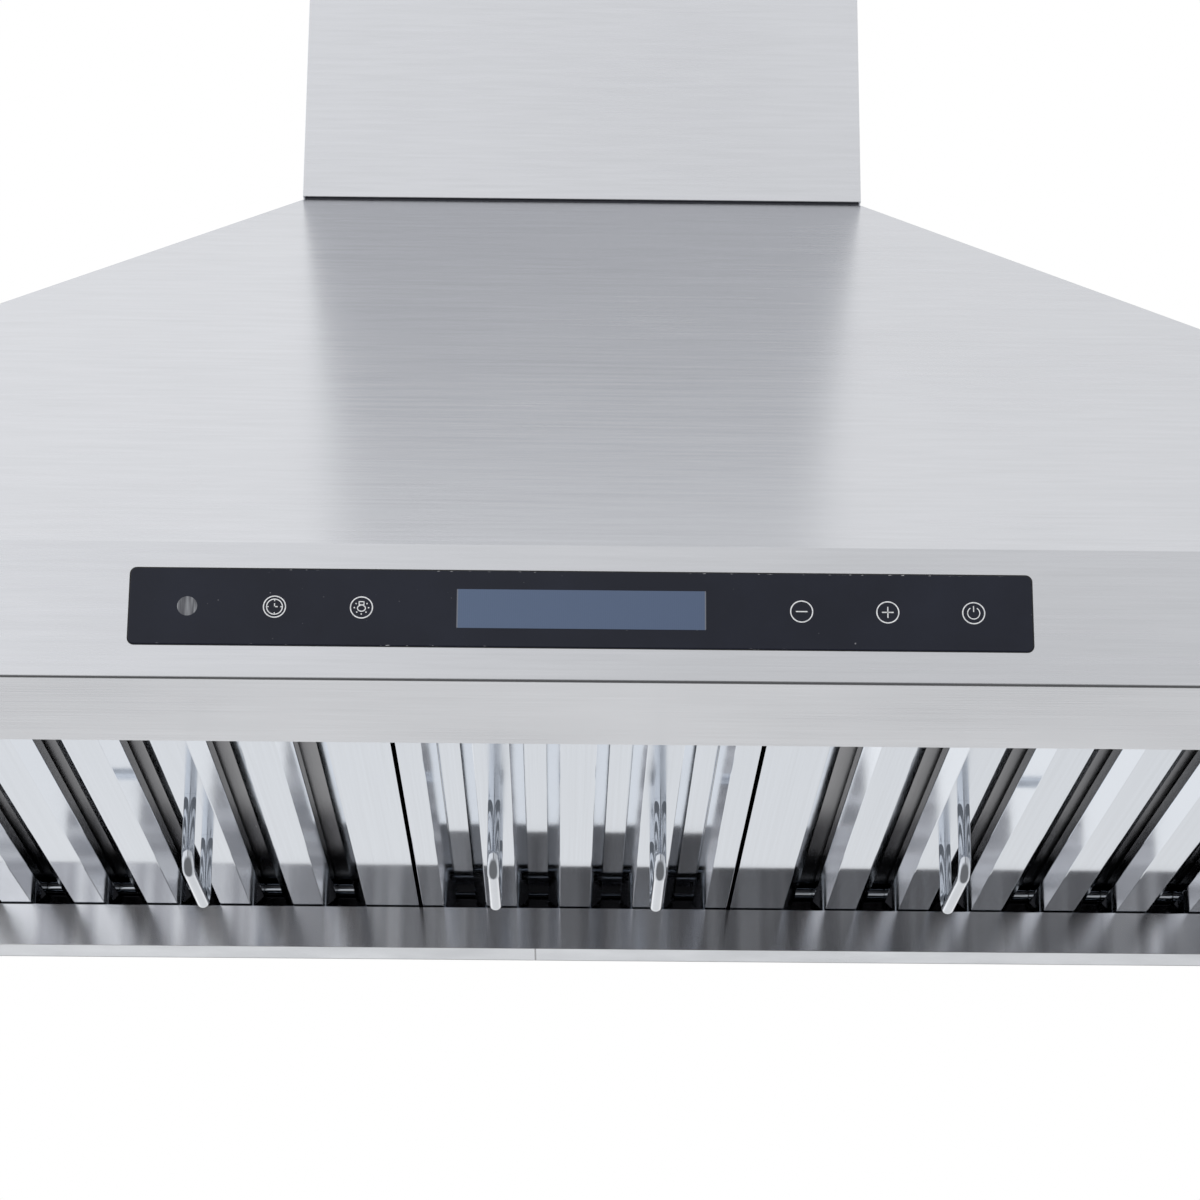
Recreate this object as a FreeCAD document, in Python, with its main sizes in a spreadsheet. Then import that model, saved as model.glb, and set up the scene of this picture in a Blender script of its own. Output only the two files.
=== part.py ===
"""Wall-mount chimney range hood: pyramid canopy, baffle filters, twin-inlet blower, chimney.

Millimetres. X runs to the right, Y towards the wall, Z up. The origin is the centre of the
four wall-screw holes on the wall plane. Sketches are drawn in hood heights, measured from the
underside of the rim, and every sub-part's Placement drops it by the height of the screw pattern.
"""
import FreeCAD, Part
import math
import os

import Sketcher

DRIVING = [
    # canopy
    ("hood_width", 900.0), ("hood_depth", 500.0), ("band_high", 51.0), ("canopy_top", 305.0),
    ("sheet", 1.0), ("fold_high", 50.5), ("slope_inset_front", 1.46), ("slope_inset_side", 1.62),
    ("wall_datum", 150.0), ("wall_hole_x", 150.0), ("wall_hole_z", 75.0), ("wall_hole_rad", 4.5),
    ("fit_gap", 0.1), ("body_gap", 0.4), ("hem_round", 0.9),
    # underside
    ("flange_deep", 86.3), ("side_flange", 16.5), ("lip_high", 19.2), ("ledge_deep", 14.0),
    ("rail_back", 29.0), ("rail_high", 20.2),
    # chimney
    ("chimney_width", 255.0), ("chimney_depth", 230.0), ("shadow_gap", 1.7), ("cover_high", 440.0),
    ("telescope_gap", 0.6), ("upper_start", 27.0), ("upper_high", 445.0), ("return_wide", 15.0),
    ("top_plate_thick", 1.2), ("top_wall_high", 18.0),
    ("vent_slot_wide", 4.0), ("vent_slot_high", 36.0), ("vent_pitch", 12.0), ("vent_count", 9),
    ("vent_top_drop", 95.0), ("bracket_high", 30.0), ("bracket_deep", 40.0), ("bracket_thick", 1.5),
    ("bracket_hole_x", 80.0), ("bracket_hole_rad", 3.2), ("cover_screw_rear", 69.0),
    ("cover_screw_front", 172.5),
    # controls
    ("glass_wide", 323.4), ("glass_high", 28.4), ("glass_mid", 26.8), ("glass_thick", 3.0),
    ("glass_proud", 0.4), ("glass_corner", 2.2), ("glass_gap", 0.4),
    ("lcd_wide", 89.3), ("lcd_high", 14.5), ("lcd_thick", 3.0), ("sensor_x", 141.0),
    ("sensor_rad", 3.6), ("housing_deep", 25.0), ("housing_wall", 2.0), ("board_thick", 1.6),
    ("board_set", 11.0), ("board_wide", 304.0), ("board_high", 23.8), ("housing_outlet_x", 129.4),
    # filters
    ("baffle_pitch", 35.5), ("baffle_slot", 9.3), ("chamfer", 5.8), ("skin", 0.8),
    ("filter_high", 17.0), ("centre_leg", 7.6), ("centre_top", 9.4), ("centre_drop", 5.5),
    ("side_leg", 12.0), ("side_top", 15.0), ("side_drop", 8.0), ("upper_half", 9.8),
    ("filter_front", 424.0), ("filter_back", 13.0), ("end_lip", 9.0), ("top_lip", 8.0),
    ("centre_slots", 4), ("side_slots", 9), ("centre_filter_wide", 148.0),
    ("side_filter_wide", 356.2), ("filter_seam", 1.8), ("rod_rad", 2.8), ("rod_high", 10.5),
    ("handle_wire", 2.65), ("handle_drop", 31.65), ("handle_near", 252.5), ("handle_span", 75.0),
    ("handle_bend", 8.0), ("centre_handle_x", 35.5), ("side_handle_x", 88.75),
    # lamps
    ("lamp_x", 300.0), ("lamp_y", 457.0), ("lamp_hole", 28.5), ("bezel_rad", 32.0),
    ("bezel_thick", 1.6), ("lens_rad", 25.0), ("lens_thick", 2.0), ("lamp_body_rad", 28.0),
    ("lamp_body_high", 16.0), ("fin_root", 22.4),
    # blower
    ("wheel_y", 181.0), ("wheel_z", 186.0), ("wheel_rad", 80.0), ("wheel_eye", 66.0),
    ("wheel_half", 50.0), ("wheel_sheet", 1.0), ("blade_count", 36), ("hub_rad", 12.0),
    ("hub_half", 14.0), ("shaft_rad", 4.0), ("shaft_eye", 6.0), ("nut_corner", 7.6),
    ("running_gap", 0.03), ("seat_gap", 0.05),
    ("scroll_half", 56.0), ("scroll_sheet", 1.2), ("scroll_start", 96.0), ("scroll_step", 8.0),
    ("throat_front", 165.0), ("throat_back", 65.0), ("inlet_rad", 60.0), ("inlet_lip", 72.0),
    ("motor_start", 61.0), ("motor_long", 68.0), ("motor_rad", 42.0), ("motor_wall", 2.0),
    ("bearing_rad", 11.0), ("bearing_wide", 7.0), ("rotor_rad", 23.4), ("stator_bore", 24.0),
    ("stator_long", 36.0), ("post_rad", 5.0), ("post_orbit", 79.0), ("post_bore", 2.1),
    ("screw_rad", 2.0), ("screw_head", 4.0), ("screw_head_high", 2.4), ("grommet_thick", 3.0),
    ("arm_thick", 3.0), ("arm_wide", 9.0),
    # outlet and damper
    ("outlet_y", 115.0), ("collar_rad", 75.0), ("collar_sheet", 0.8), ("collar_high", 52.0),
    ("collar_foot", 84.0), ("gasket_thick", 1.5), ("damper_rise", 18.0), ("damper_rod", 1.5),
    ("stop_wide", 2.7), ("flap_rad", 73.4), ("flap_thick", 0.8), ("flap_edge", 3.0),
    ("knuckle_rad", 2.4), ("knuckle_long", 14.0), ("knuckle_pitch", 72.0), ("front_knuckle", -56.0),
    ("rear_knuckle", -38.0), ("tang_start", 1.92),
    # electrics
    ("box_left", 165.0), ("box_right", 305.0), ("box_low", 85.0), ("box_high", 150.0),
    ("box_deep", 60.0), ("box_entry_drop", 20.0), ("power_board_side", 8.0), ("power_board_rim", 6.0),
    ("terminal_left", 112.0), ("terminal_wide", 16.0), ("terminal_low", 12.0), ("terminal_high", 36.0),
    ("capacitor_x", 205.0), ("capacitor_rad", 17.0), ("capacitor_high", 62.0),
    ("gland_x", 98.0), ("gland_y", 32.0), ("gland_rad", 8.0), ("gland_bore", 4.2),
    ("gland_nut", 12.0), ("gland_tip", 6.4), ("cable_rad", 2.5),
]
"""Alias and value of every driving dimension, in the order of the sheet."""

doc = FreeCAD.newDocument("range_hood")


def make_sheet():
    """Put the driving dimensions in a spreadsheet, one aliased cell each."""
    sheet = doc.addObject("Spreadsheet::Sheet", "dims")
    for row, (alias, value) in enumerate(DRIVING, start=1):
        sheet.set("A%d" % row, alias)
        sheet.set("B%d" % row, str(value))
        sheet.setAlias("B%d" % row, alias)
    doc.recompute()
    return sheet


dims = make_sheet()
subparts = []


# ---------------------------------------------------------------- drawing helpers

def place(piece, base_x="0", base_y="0", base_z="0"):
    """Place a sub-part: hood heights become heights above the wall datum."""
    piece.setExpression("Placement.Base.x", base_x)
    piece.setExpression("Placement.Base.y", base_y)
    piece.setExpression("Placement.Base.z", "%s - dims.wall_datum" % base_z)
    subparts.append(piece)
    return piece


def new_body(label, base_x="0", base_y="0", base_z="0"):
    """Start a PartDesign body that is one sub-part."""
    body = doc.addObject("PartDesign::Body", label)
    body.Label = label
    return place(body, base_x, base_y, base_z)


def draw(body, plane, offset="0"):
    """A sketch on one of the body's own origin planes, moved along the plane's normal."""
    sketch = body.newObject("Sketcher::SketchObject", body.Name + "_sketch")
    origin_plane = [item for item in body.Origin.OriginFeatures if item.Role == plane + "_Plane"]
    sketch.AttachmentSupport = [(origin_plane[0], "")]
    sketch.MapMode = "FlatFace"
    sketch.setExpression("AttachmentOffset.Base.z", offset)
    return sketch


def drive(sketch, kind, geometry, vertex, expression):
    """Tie one coordinate of a sketch vertex to the sheet."""
    spot = sketch.getPoint(geometry, vertex)
    now = {"DistanceX": spot.x, "DistanceY": spot.y}[kind]
    index = sketch.addConstraint(Sketcher.Constraint(kind, -1, 1, geometry, vertex, now))
    sketch.setExpression("Constraints[%d]" % index, expression)


def outline(sketch, corners):
    """A closed straight-sided outline; each corner is a pair of expressions."""
    first = sketch.GeometryCount
    count = len(corners)
    ring = Part.makeCircle(10.0).discretize(count + 1)
    for start, end in zip(ring[:-1], ring[1:]):
        sketch.addGeometry(Part.LineSegment(start, end), False)
    for step in range(count):
        follower = first + (step + 1) % count
        sketch.addConstraint(Sketcher.Constraint("Coincident", first + step, 2, follower, 1))
    for step, (across, up) in enumerate(corners):
        drive(sketch, "DistanceX", first + step, 1, across)
        drive(sketch, "DistanceY", first + step, 1, up)
    return sketch


def rectangle(sketch, left, right, low, high):
    """A closed rectangle between four expressions."""
    return outline(sketch, [(left, low), (right, low), (right, high), (left, high)])


def circle(sketch, across, up, radius):
    """A circle whose centre and radius are expressions."""
    start = Part.Circle(FreeCAD.Vector(1, 1, 0), FreeCAD.Vector(0, 0, 1), 1.0)
    index = sketch.addGeometry(start, False)
    drive(sketch, "DistanceX", index, 3, across)
    drive(sketch, "DistanceY", index, 3, up)
    size = sketch.addConstraint(Sketcher.Constraint("Radius", index, 1.0))
    sketch.setExpression("Constraints[%d]" % size, radius)
    return sketch


def pad(body, sketch, length):
    """Pad along the sketch plane's normal."""
    feature = body.newObject("PartDesign::Pad", body.Name + "_pad")
    feature.Profile = sketch
    feature.setExpression("Length", length)
    return feature


def pocket(body, sketch, length, along_normal=False):
    """Pocket against the sketch plane's normal, or along it."""
    feature = body.newObject("PartDesign::Pocket", body.Name + "_pocket")
    feature.Profile = sketch
    feature.Reversed = along_normal
    feature.setExpression("Length", length)
    return feature


def pocket_both(body, sketch, length):
    """Pocket to both sides of the sketch plane."""
    feature = pocket(body, sketch, length)
    feature.Midplane = True
    return feature


def revolve(body, sketch, axis="H_Axis"):
    """Revolve a half section about one of its sketch's axes."""
    feature = body.newObject("PartDesign::Revolution", body.Name + "_revolve")
    feature.Profile = sketch
    feature.ReferenceAxis = (sketch, [axis])
    feature.Angle = 360.0
    return feature


def repeat_along(body, feature, sketch, spacing, count, axis="H_Axis"):
    """Repeat a feature in a straight row."""
    pattern = body.newObject("PartDesign::LinearPattern", body.Name + "_row")
    pattern.Originals = [feature]
    pattern.Direction = (sketch, [axis])
    pattern.Mode = "Spacing"
    pattern.setExpression("Offset", spacing)
    pattern.setExpression("Occurrences", count)
    body.Tip = pattern
    return pattern


def repeat_round(body, features, sketch, count, axis="N_Axis"):
    """Repeat features round an axis of a sketch."""
    pattern = body.newObject("PartDesign::PolarPattern", body.Name + "_ring")
    pattern.Originals = features
    pattern.Axis = (sketch, [axis])
    pattern.Angle = 360.0
    pattern.setExpression("Occurrences", count)
    body.Tip = pattern
    return pattern


def mirror(body, features, plane):
    """Mirror features in one of the body's own origin planes."""
    origin_plane = [item for item in body.Origin.OriginFeatures if item.Role == plane + "_Plane"]
    pattern = body.newObject("PartDesign::Mirrored", body.Name + "_mirror")
    pattern.Originals = features
    pattern.MirrorPlane = (origin_plane[0], [""])
    body.Tip = pattern
    return pattern


def round_edges(body, base, radius, wanted):
    """Fillet the edges of base that the test picks out."""
    doc.recompute()
    names = ["Edge%d" % (i + 1) for i, edge in enumerate(base.Shape.Edges) if wanted(edge)]
    feature = body.newObject("PartDesign::Fillet", body.Name + "_fillet")
    feature.Base = (base, names)
    feature.setExpression("Radius", radius)
    return feature


def runs_along_y(edge):
    """True for an edge parallel to Y."""
    start, end = edge.Vertexes[0].Point, edge.Vertexes[-1].Point
    return abs(start.x - end.x) < 1e-6 and abs(start.z - end.z) < 1e-6


def primitive(kind, name, sizes, base=("0", "0", "0"), turn=None):
    """A Part primitive with bound sizes and place, for use in a boolean."""
    item = doc.addObject(kind, name)
    for key, expression in sizes.items():
        item.setExpression(key, expression)
    if turn:
        item.Placement = FreeCAD.Placement(FreeCAD.Vector(), FreeCAD.Rotation(*turn))
    for key, expression in zip("xyz", base):
        item.setExpression("Placement.Base." + key, expression)
    return item


def fuse(name, shapes):
    """Join shapes with a Part::MultiFuse."""
    result = doc.addObject("Part::MultiFuse", name)
    result.Shapes = shapes
    return result


def cut(name, base, tool):
    """Cut tool from base with a Part::Cut."""
    result = doc.addObject("Part::Cut", name)
    result.Base = base
    result.Tool = tool
    return result


# ---------------------------------------------------------------- canopy

FRONT = "-dims.hood_depth"
HALF = "dims.hood_width / 2"
TOP_HALF = "dims.chimney_width / 2"
TOP_FRONT = "-dims.chimney_depth"
TOP_IN_HALF = "(%s - dims.slope_inset_side)" % TOP_HALF


def at_window_corner(edge):
    """True for the four corner edges of the control window."""
    half = dims.glass_wide / 2 + dims.glass_gap
    return runs_along_y(edge) and abs(abs(edge.Vertexes[0].Point.x) - half) < 1e-6


def on_lower_rim(edge):
    """True for the canopy's outer bottom edges, at the front and both sides."""
    ends = [vertex.Point for vertex in edge.Vertexes]
    low = all(abs(point.z) < 1e-6 for point in ends)
    front = all(abs(point.y + dims.hood_depth) < 1e-6 for point in ends)
    side = all(abs(abs(point.x) - dims.hood_width / 2) < 1e-6 for point in ends)
    return low and (front or side)


def make_canopy_shell():
    """Band and pyramid in one folded sheet, open below, behind and at the top."""
    body = new_body("canopy_shell")
    band = rectangle(draw(body, "XY"), "-" + HALF, HALF, FRONT, "0")
    pad(body, band, "dims.band_high")
    foot = rectangle(draw(body, "XY", "dims.band_high"), "-" + HALF, HALF, FRONT, "0")
    crown = rectangle(draw(body, "XY", "dims.canopy_top"), "-" + TOP_HALF, TOP_HALF, TOP_FRONT, "0")
    slopes = body.newObject("PartDesign::AdditiveLoft", "canopy_slopes")
    slopes.Profile = foot
    slopes.Sections = [crown]
    slopes.Ruled = True
    inner = (HALF + " - dims.sheet", FRONT + " + dims.sheet")
    hollow = rectangle(draw(body, "XY"), "-(%s)" % inner[0], inner[0], inner[1], "dims.sheet")
    pocket(body, hollow, "dims.fold_high", along_normal=True)
    low = rectangle(draw(body, "XY", "dims.fold_high"),
                    "-(%s)" % inner[0], inner[0], inner[1], "dims.sheet")
    high = rectangle(draw(body, "XY", "dims.canopy_top"), "-" + TOP_IN_HALF, TOP_IN_HALF,
                     TOP_FRONT + " + dims.slope_inset_front", "dims.sheet")
    inside = body.newObject("PartDesign::SubtractiveLoft", "canopy_inside")
    inside.Profile = low
    inside.Sections = [high]
    inside.Ruled = True
    window = draw(body, "XZ", "dims.hood_depth")
    rectangle(window, "-dims.glass_wide / 2 - dims.glass_gap", "dims.glass_wide / 2 + dims.glass_gap",
              "dims.glass_mid - dims.glass_high / 2 - dims.glass_gap",
              "dims.glass_mid + dims.glass_high / 2 + dims.glass_gap")
    opened = pocket(body, window, "dims.sheet * 2")
    cornered = round_edges(body, opened, "dims.glass_corner + dims.glass_gap", at_window_corner)
    round_edges(body, cornered, "dims.hem_round", on_lower_rim)


def make_rim_flange():
    """Underside flange with lamp holes and an upturned lip round the filter opening."""
    body = new_body("rim_flange")
    out_x = HALF + " - dims.sheet"
    out_y = FRONT + " + dims.sheet"
    in_x = HALF + " - dims.side_flange"
    in_y = FRONT + " + dims.flange_deep"
    wall = "-dims.sheet - dims.fit_gap"
    plate = draw(body, "XY")
    outline(plate, [("-(%s)" % out_x, out_y), (out_x, out_y), (out_x, wall), (in_x, wall),
                    (in_x, in_y), ("-(%s)" % in_x, in_y), ("-(%s)" % in_x, wall),
                    ("-(%s)" % out_x, wall)])
    pad(body, plate, "dims.sheet")
    lip = draw(body, "XY")
    lip_x = in_x + " + dims.sheet"
    lip_y = in_y + " - dims.sheet"
    outline(lip, [("-(%s)" % lip_x, lip_y), (lip_x, lip_y), (lip_x, wall), (in_x, wall),
                  (in_x, in_y), ("-(%s)" % in_x, in_y), ("-(%s)" % in_x, wall),
                  ("-(%s)" % lip_x, wall)])
    pad(body, lip, "dims.lip_high")
    holes = draw(body, "XY")
    for side in ("-", ""):
        circle(holes, side + "dims.lamp_x", "-dims.lamp_y", "dims.lamp_hole")
    pocket(body, holes, "dims.sheet * 2", along_normal=True)


def make_front_ledge():
    """Folded shelf on the front lip that the filters' front edges rest on."""
    body = new_body("front_ledge")
    back = FRONT + " + dims.flange_deep"
    front = "%s - dims.ledge_deep" % back
    top = "dims.lip_high + dims.sheet"
    section = draw(body, "YZ", "-(%s - dims.side_flange)" % HALF)
    outline(section, [(front, "dims.sheet * 4"), (front + " + dims.sheet", "dims.sheet * 4"),
                      (front + " + dims.sheet", "dims.lip_high"), (back, "dims.lip_high"),
                      (back, top), (front, top)])
    pad(body, section, "dims.hood_width - 2 * dims.side_flange")


def make_grease_trough():
    """Rear channel: polished front wall, floor and low rear wall."""
    body = new_body("grease_trough")
    front = "-dims.rail_back"
    back = "-dims.sheet - dims.fit_gap"
    section = draw(body, "YZ", "-(%s - dims.side_flange - dims.fit_gap)" % HALF)
    outline(section, [(front, "0"), (back, "0"), (back, "dims.rail_high"),
                      (back + " - dims.sheet", "dims.rail_high"), (back + " - dims.sheet", "dims.sheet"),
                      (front + " + dims.sheet", "dims.sheet"), (front + " + dims.sheet", "dims.rail_high"),
                      (front, "dims.rail_high")])
    pad(body, section, "dims.hood_width - 2 * dims.side_flange - 2 * dims.fit_gap")


def make_back_panel():
    """Wall-side sheet that closes the canopy, with the four wall-screw holes."""
    body = new_body("back_panel")
    low_x = HALF + " - dims.sheet - dims.fit_gap"
    top_x = TOP_IN_HALF + " - dims.fit_gap"
    face = draw(body, "XZ")
    outline(face, [("-(%s)" % low_x, "0"), (low_x, "0"), (low_x, "dims.fold_high"),
                   (top_x, "dims.canopy_top"), ("-(%s)" % top_x, "dims.canopy_top"),
                   ("-(%s)" % low_x, "dims.fold_high")])
    pad(body, face, "dims.sheet")
    holes = draw(body, "XZ")
    for side in ("-", ""):
        for level in ("-", "+"):
            circle(holes, side + "dims.wall_hole_x",
                   "dims.wall_datum %s dims.wall_hole_z" % level, "dims.wall_hole_rad")
    pocket(body, holes, "dims.sheet * 2", along_normal=True)


def make_top_plate():
    """Plate on the canopy's mouth, with the outlet hole and walls that hold the chimney cover."""
    body = new_body("top_plate")
    half = TOP_HALF + " - dims.sheet - dims.fit_gap"
    front = TOP_FRONT + " + dims.sheet + dims.fit_gap"
    plate = rectangle(draw(body, "XY", "dims.canopy_top"), "-(%s)" % half, half, front, "0")
    pad(body, plate, "dims.top_plate_thick")
    walls = draw(body, "XY", "dims.canopy_top")
    side_back = "-dims.return_wide"
    inner = half + " - dims.sheet"
    inner_front = front + " + dims.sheet"
    outline(walls, [("-(%s)" % half, front), (half, front), (half, side_back), (inner, side_back),
                    (inner, inner_front), ("-(%s)" % inner, inner_front), ("-(%s)" % inner, side_back),
                    ("-(%s)" % half, side_back)])
    pad(body, walls, "dims.top_plate_thick + dims.top_wall_high")
    holes = draw(body, "XY", "dims.canopy_top")
    circle(holes, "0", "-dims.outlet_y", "dims.collar_rad - 3 * dims.sheet")
    circle(holes, "dims.gland_x", "-dims.gland_y", "dims.gland_rad + dims.fit_gap")
    pocket(body, holes, "dims.top_plate_thick * 2", along_normal=True)
    screws = draw(body, "YZ")
    for depth in COVER_SCREWS:
        circle(screws, depth, COVER_SCREW_Z, "dims.screw_rad + dims.fit_gap")
    pocket_both(body, screws, "dims.chimney_width * 2")


# ---------------------------------------------------------------- chimney

COVER_LOW = "(dims.canopy_top + dims.shadow_gap)"
UPPER_LOW = "(dims.canopy_top + dims.upper_start)"
UPPER_HALF = "(%s - dims.sheet - dims.telescope_gap)" % TOP_HALF
UPPER_FRONT = "(%s + dims.sheet + dims.telescope_gap)" % TOP_FRONT
COVER_SCREWS = ("-dims.cover_screw_rear", "-dims.cover_screw_front")
COVER_SCREW_Z = "(dims.canopy_top + dims.top_plate_thick + dims.top_wall_high / 2)"
BRACKET_LOW = "(%s + dims.upper_high - dims.bracket_high - 2 * dims.sheet)" % UPPER_LOW
BRACKET_MID = "(%s + dims.bracket_high / 2)" % BRACKET_LOW


def u_cover(sketch, half, front, back):
    """Three-sided cover section with two return flanges at the wall."""
    inner = "%s - dims.sheet" % half
    tip = "%s - dims.return_wide" % half
    back_in = "%s - dims.sheet" % back
    front_in = "%s + dims.sheet" % front
    right = [(half, front), (half, back), (tip, back), (tip, back_in), (inner, back_in),
             (inner, front_in)]
    left = [("-(%s)" % across, deep) for across, deep in reversed(right)]
    return outline(sketch, right + left)


def make_lower_cover():
    """Outer chimney cover, standing just above the canopy."""
    body = new_body("chimney_lower_cover")
    section = u_cover(draw(body, "XY", COVER_LOW), TOP_HALF, TOP_FRONT, "0")
    pad(body, section, "dims.cover_high")
    screws = draw(body, "YZ")
    for depth in COVER_SCREWS:
        circle(screws, depth, COVER_SCREW_Z, "dims.screw_rad + dims.fit_gap")
    pocket_both(body, screws, "dims.chimney_width * 2")


def make_upper_cover():
    """Inner chimney cover that telescopes upwards, with vent slots near its top."""
    body = new_body("chimney_upper_cover")
    section = u_cover(draw(body, "XY", UPPER_LOW), UPPER_HALF, UPPER_FRONT,
                      "-dims.sheet - dims.telescope_gap")
    pad(body, section, "dims.upper_high")
    slot = draw(body, "YZ")
    slot_low = "%s + dims.upper_high - dims.vent_top_drop" % UPPER_LOW
    first = "-dims.outlet_y - (dims.vent_count - 1) / 2 * dims.vent_pitch"
    rectangle(slot, first + " - dims.vent_slot_wide / 2", first + " + dims.vent_slot_wide / 2",
              slot_low, slot_low + " + dims.vent_slot_high")
    vent = pocket_both(body, slot, "dims.chimney_width * 2")
    repeat_along(body, vent, slot, "dims.vent_pitch", "dims.vent_count")
    screws = draw(body, "YZ")
    circle(screws, "-dims.bracket_deep / 2", BRACKET_MID, "dims.screw_rad + dims.fit_gap")
    body.Tip = pocket_both(body, screws, "dims.chimney_width * 2")


def make_top_bracket():
    """Bent strap at the top of the upper cover, with two wall-screw holes and two side ears."""
    body = new_body("chimney_top_bracket")
    half = "(%s - dims.sheet - dims.fit_gap)" % UPPER_HALF
    back = "(-2 * dims.sheet - dims.telescope_gap - dims.fit_gap)"
    inner = "%s - dims.bracket_thick" % half
    strap = draw(body, "XY", BRACKET_LOW)
    right = [(half, "-dims.bracket_deep"), (half, back)]
    right_in = [(inner, "%s - dims.bracket_thick" % back), (inner, "-dims.bracket_deep")]
    left = [("-(%s)" % across, deep) for across, deep in reversed(right)]
    left_in = [("-(%s)" % across, deep) for across, deep in reversed(right_in)]
    outline(strap, right + left + left_in + right_in)
    pad(body, strap, "dims.bracket_high")
    wall_holes = draw(body, "XZ")
    for side in ("-", ""):
        circle(wall_holes, side + "dims.bracket_hole_x", BRACKET_MID, "dims.bracket_hole_rad")
    pocket(body, wall_holes, "dims.bracket_deep / 2", along_normal=True)
    ears = draw(body, "YZ")
    circle(ears, "-dims.bracket_deep / 2", BRACKET_MID, "dims.screw_rad + dims.fit_gap")
    pocket_both(body, ears, "dims.chimney_width * 2")


def side_screws(label, depths, level, surface, shank):
    """Pan-head screws driven in from both sides of the chimney."""
    body = new_body(label)
    head = draw(body, "YZ", surface)
    stem = draw(body, "YZ", "%s - %s" % (surface, shank))
    for depth in depths:
        circle(head, depth, level, "dims.screw_head")
        circle(stem, depth, level, "dims.screw_rad")
    heads = pad(body, head, "dims.screw_head_high / 2")
    stems = pad(body, stem, shank)
    mirror(body, [heads, stems], "YZ")


# ---------------------------------------------------------------- controls and lamps

CONTROL_CHIPS = (("-20", "16", "16"), ("60", "24", "8"), ("-80", "10", "12"))
"""Middle, width and height of the processor, the connector and the sounder."""


def make_control_glass():
    """Black touch glass with rounded corners, a little proud of the band."""
    body = new_body("control_glass")
    face = draw(body, "XZ", "dims.hood_depth + dims.glass_proud - dims.glass_thick")
    rectangle(face, "-dims.glass_wide / 2", "dims.glass_wide / 2",
              "dims.glass_mid - dims.glass_high / 2", "dims.glass_mid + dims.glass_high / 2")
    plate = pad(body, face, "dims.glass_thick")
    round_edges(body, plate, "dims.glass_corner", runs_along_y)


def make_control_housing():
    """Plastic tray behind the band, open to the front."""
    body = new_body("control_housing")
    half = "dims.glass_wide / 2 + dims.glass_gap"
    low = "dims.glass_mid - dims.glass_high / 2 - dims.glass_gap"
    high = "dims.glass_mid + dims.glass_high / 2 + dims.glass_gap"
    back = "dims.hood_depth - dims.sheet - dims.housing_deep"
    shell = draw(body, "XZ", back)
    rectangle(shell, "-(%s) - dims.housing_wall" % half, half + " + dims.housing_wall",
              low + " - dims.housing_wall", high + " + dims.housing_wall")
    pad(body, shell, "dims.housing_deep")
    hollow = draw(body, "XZ", back + " + dims.housing_wall")
    rectangle(hollow, "-(%s)" % half, half, low, high)
    pocket(body, hollow, "dims.housing_deep", along_normal=True)
    outlet = draw(body, "XZ", back)
    circle(outlet, "dims.housing_outlet_x", "dims.glass_mid", "dims.cable_rad + dims.fit_gap")
    pocket(body, outlet, "dims.housing_wall * 2", along_normal=True)


def make_control_board():
    """Circuit board behind the glass with its processor, connector and sounder."""
    body = new_body("control_board")
    back = "dims.hood_depth - dims.board_set"
    plate = draw(body, "XZ", back)
    rectangle(plate, "-dims.board_wide / 2", "dims.board_wide / 2",
              "dims.glass_mid - dims.board_high / 2", "dims.glass_mid + dims.board_high / 2")
    pad(body, plate, "dims.board_thick")
    chips = draw(body, "XZ", back + " - 2 * dims.board_thick")
    for middle, wide, high in CONTROL_CHIPS:
        rectangle(chips, "%s - %s / 2" % (middle, wide), "%s + %s / 2" % (middle, wide),
                  "dims.glass_mid - %s / 2" % high, "dims.glass_mid + %s / 2" % high)
    pad(body, chips, "2 * dims.board_thick")


def make_display_and_sensor():
    """Display module and remote sensor behind the glass."""
    glass_back = "dims.hood_depth + dims.glass_proud - dims.glass_thick - dims.fit_gap"
    display = new_body("lcd_display")
    face = draw(display, "XZ", glass_back + " - dims.lcd_thick")
    rectangle(face, "-dims.lcd_wide / 2", "dims.lcd_wide / 2",
              "dims.glass_mid - dims.lcd_high / 2", "dims.glass_mid + dims.lcd_high / 2")
    pad(display, face, "dims.lcd_thick")
    sensor = new_body("remote_sensor")
    eye = draw(sensor, "XZ", glass_back + " - dims.lcd_thick")
    circle(eye, "-dims.sensor_x", "dims.glass_mid", "dims.sensor_rad")
    pad(sensor, eye, "dims.lcd_thick")


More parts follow.
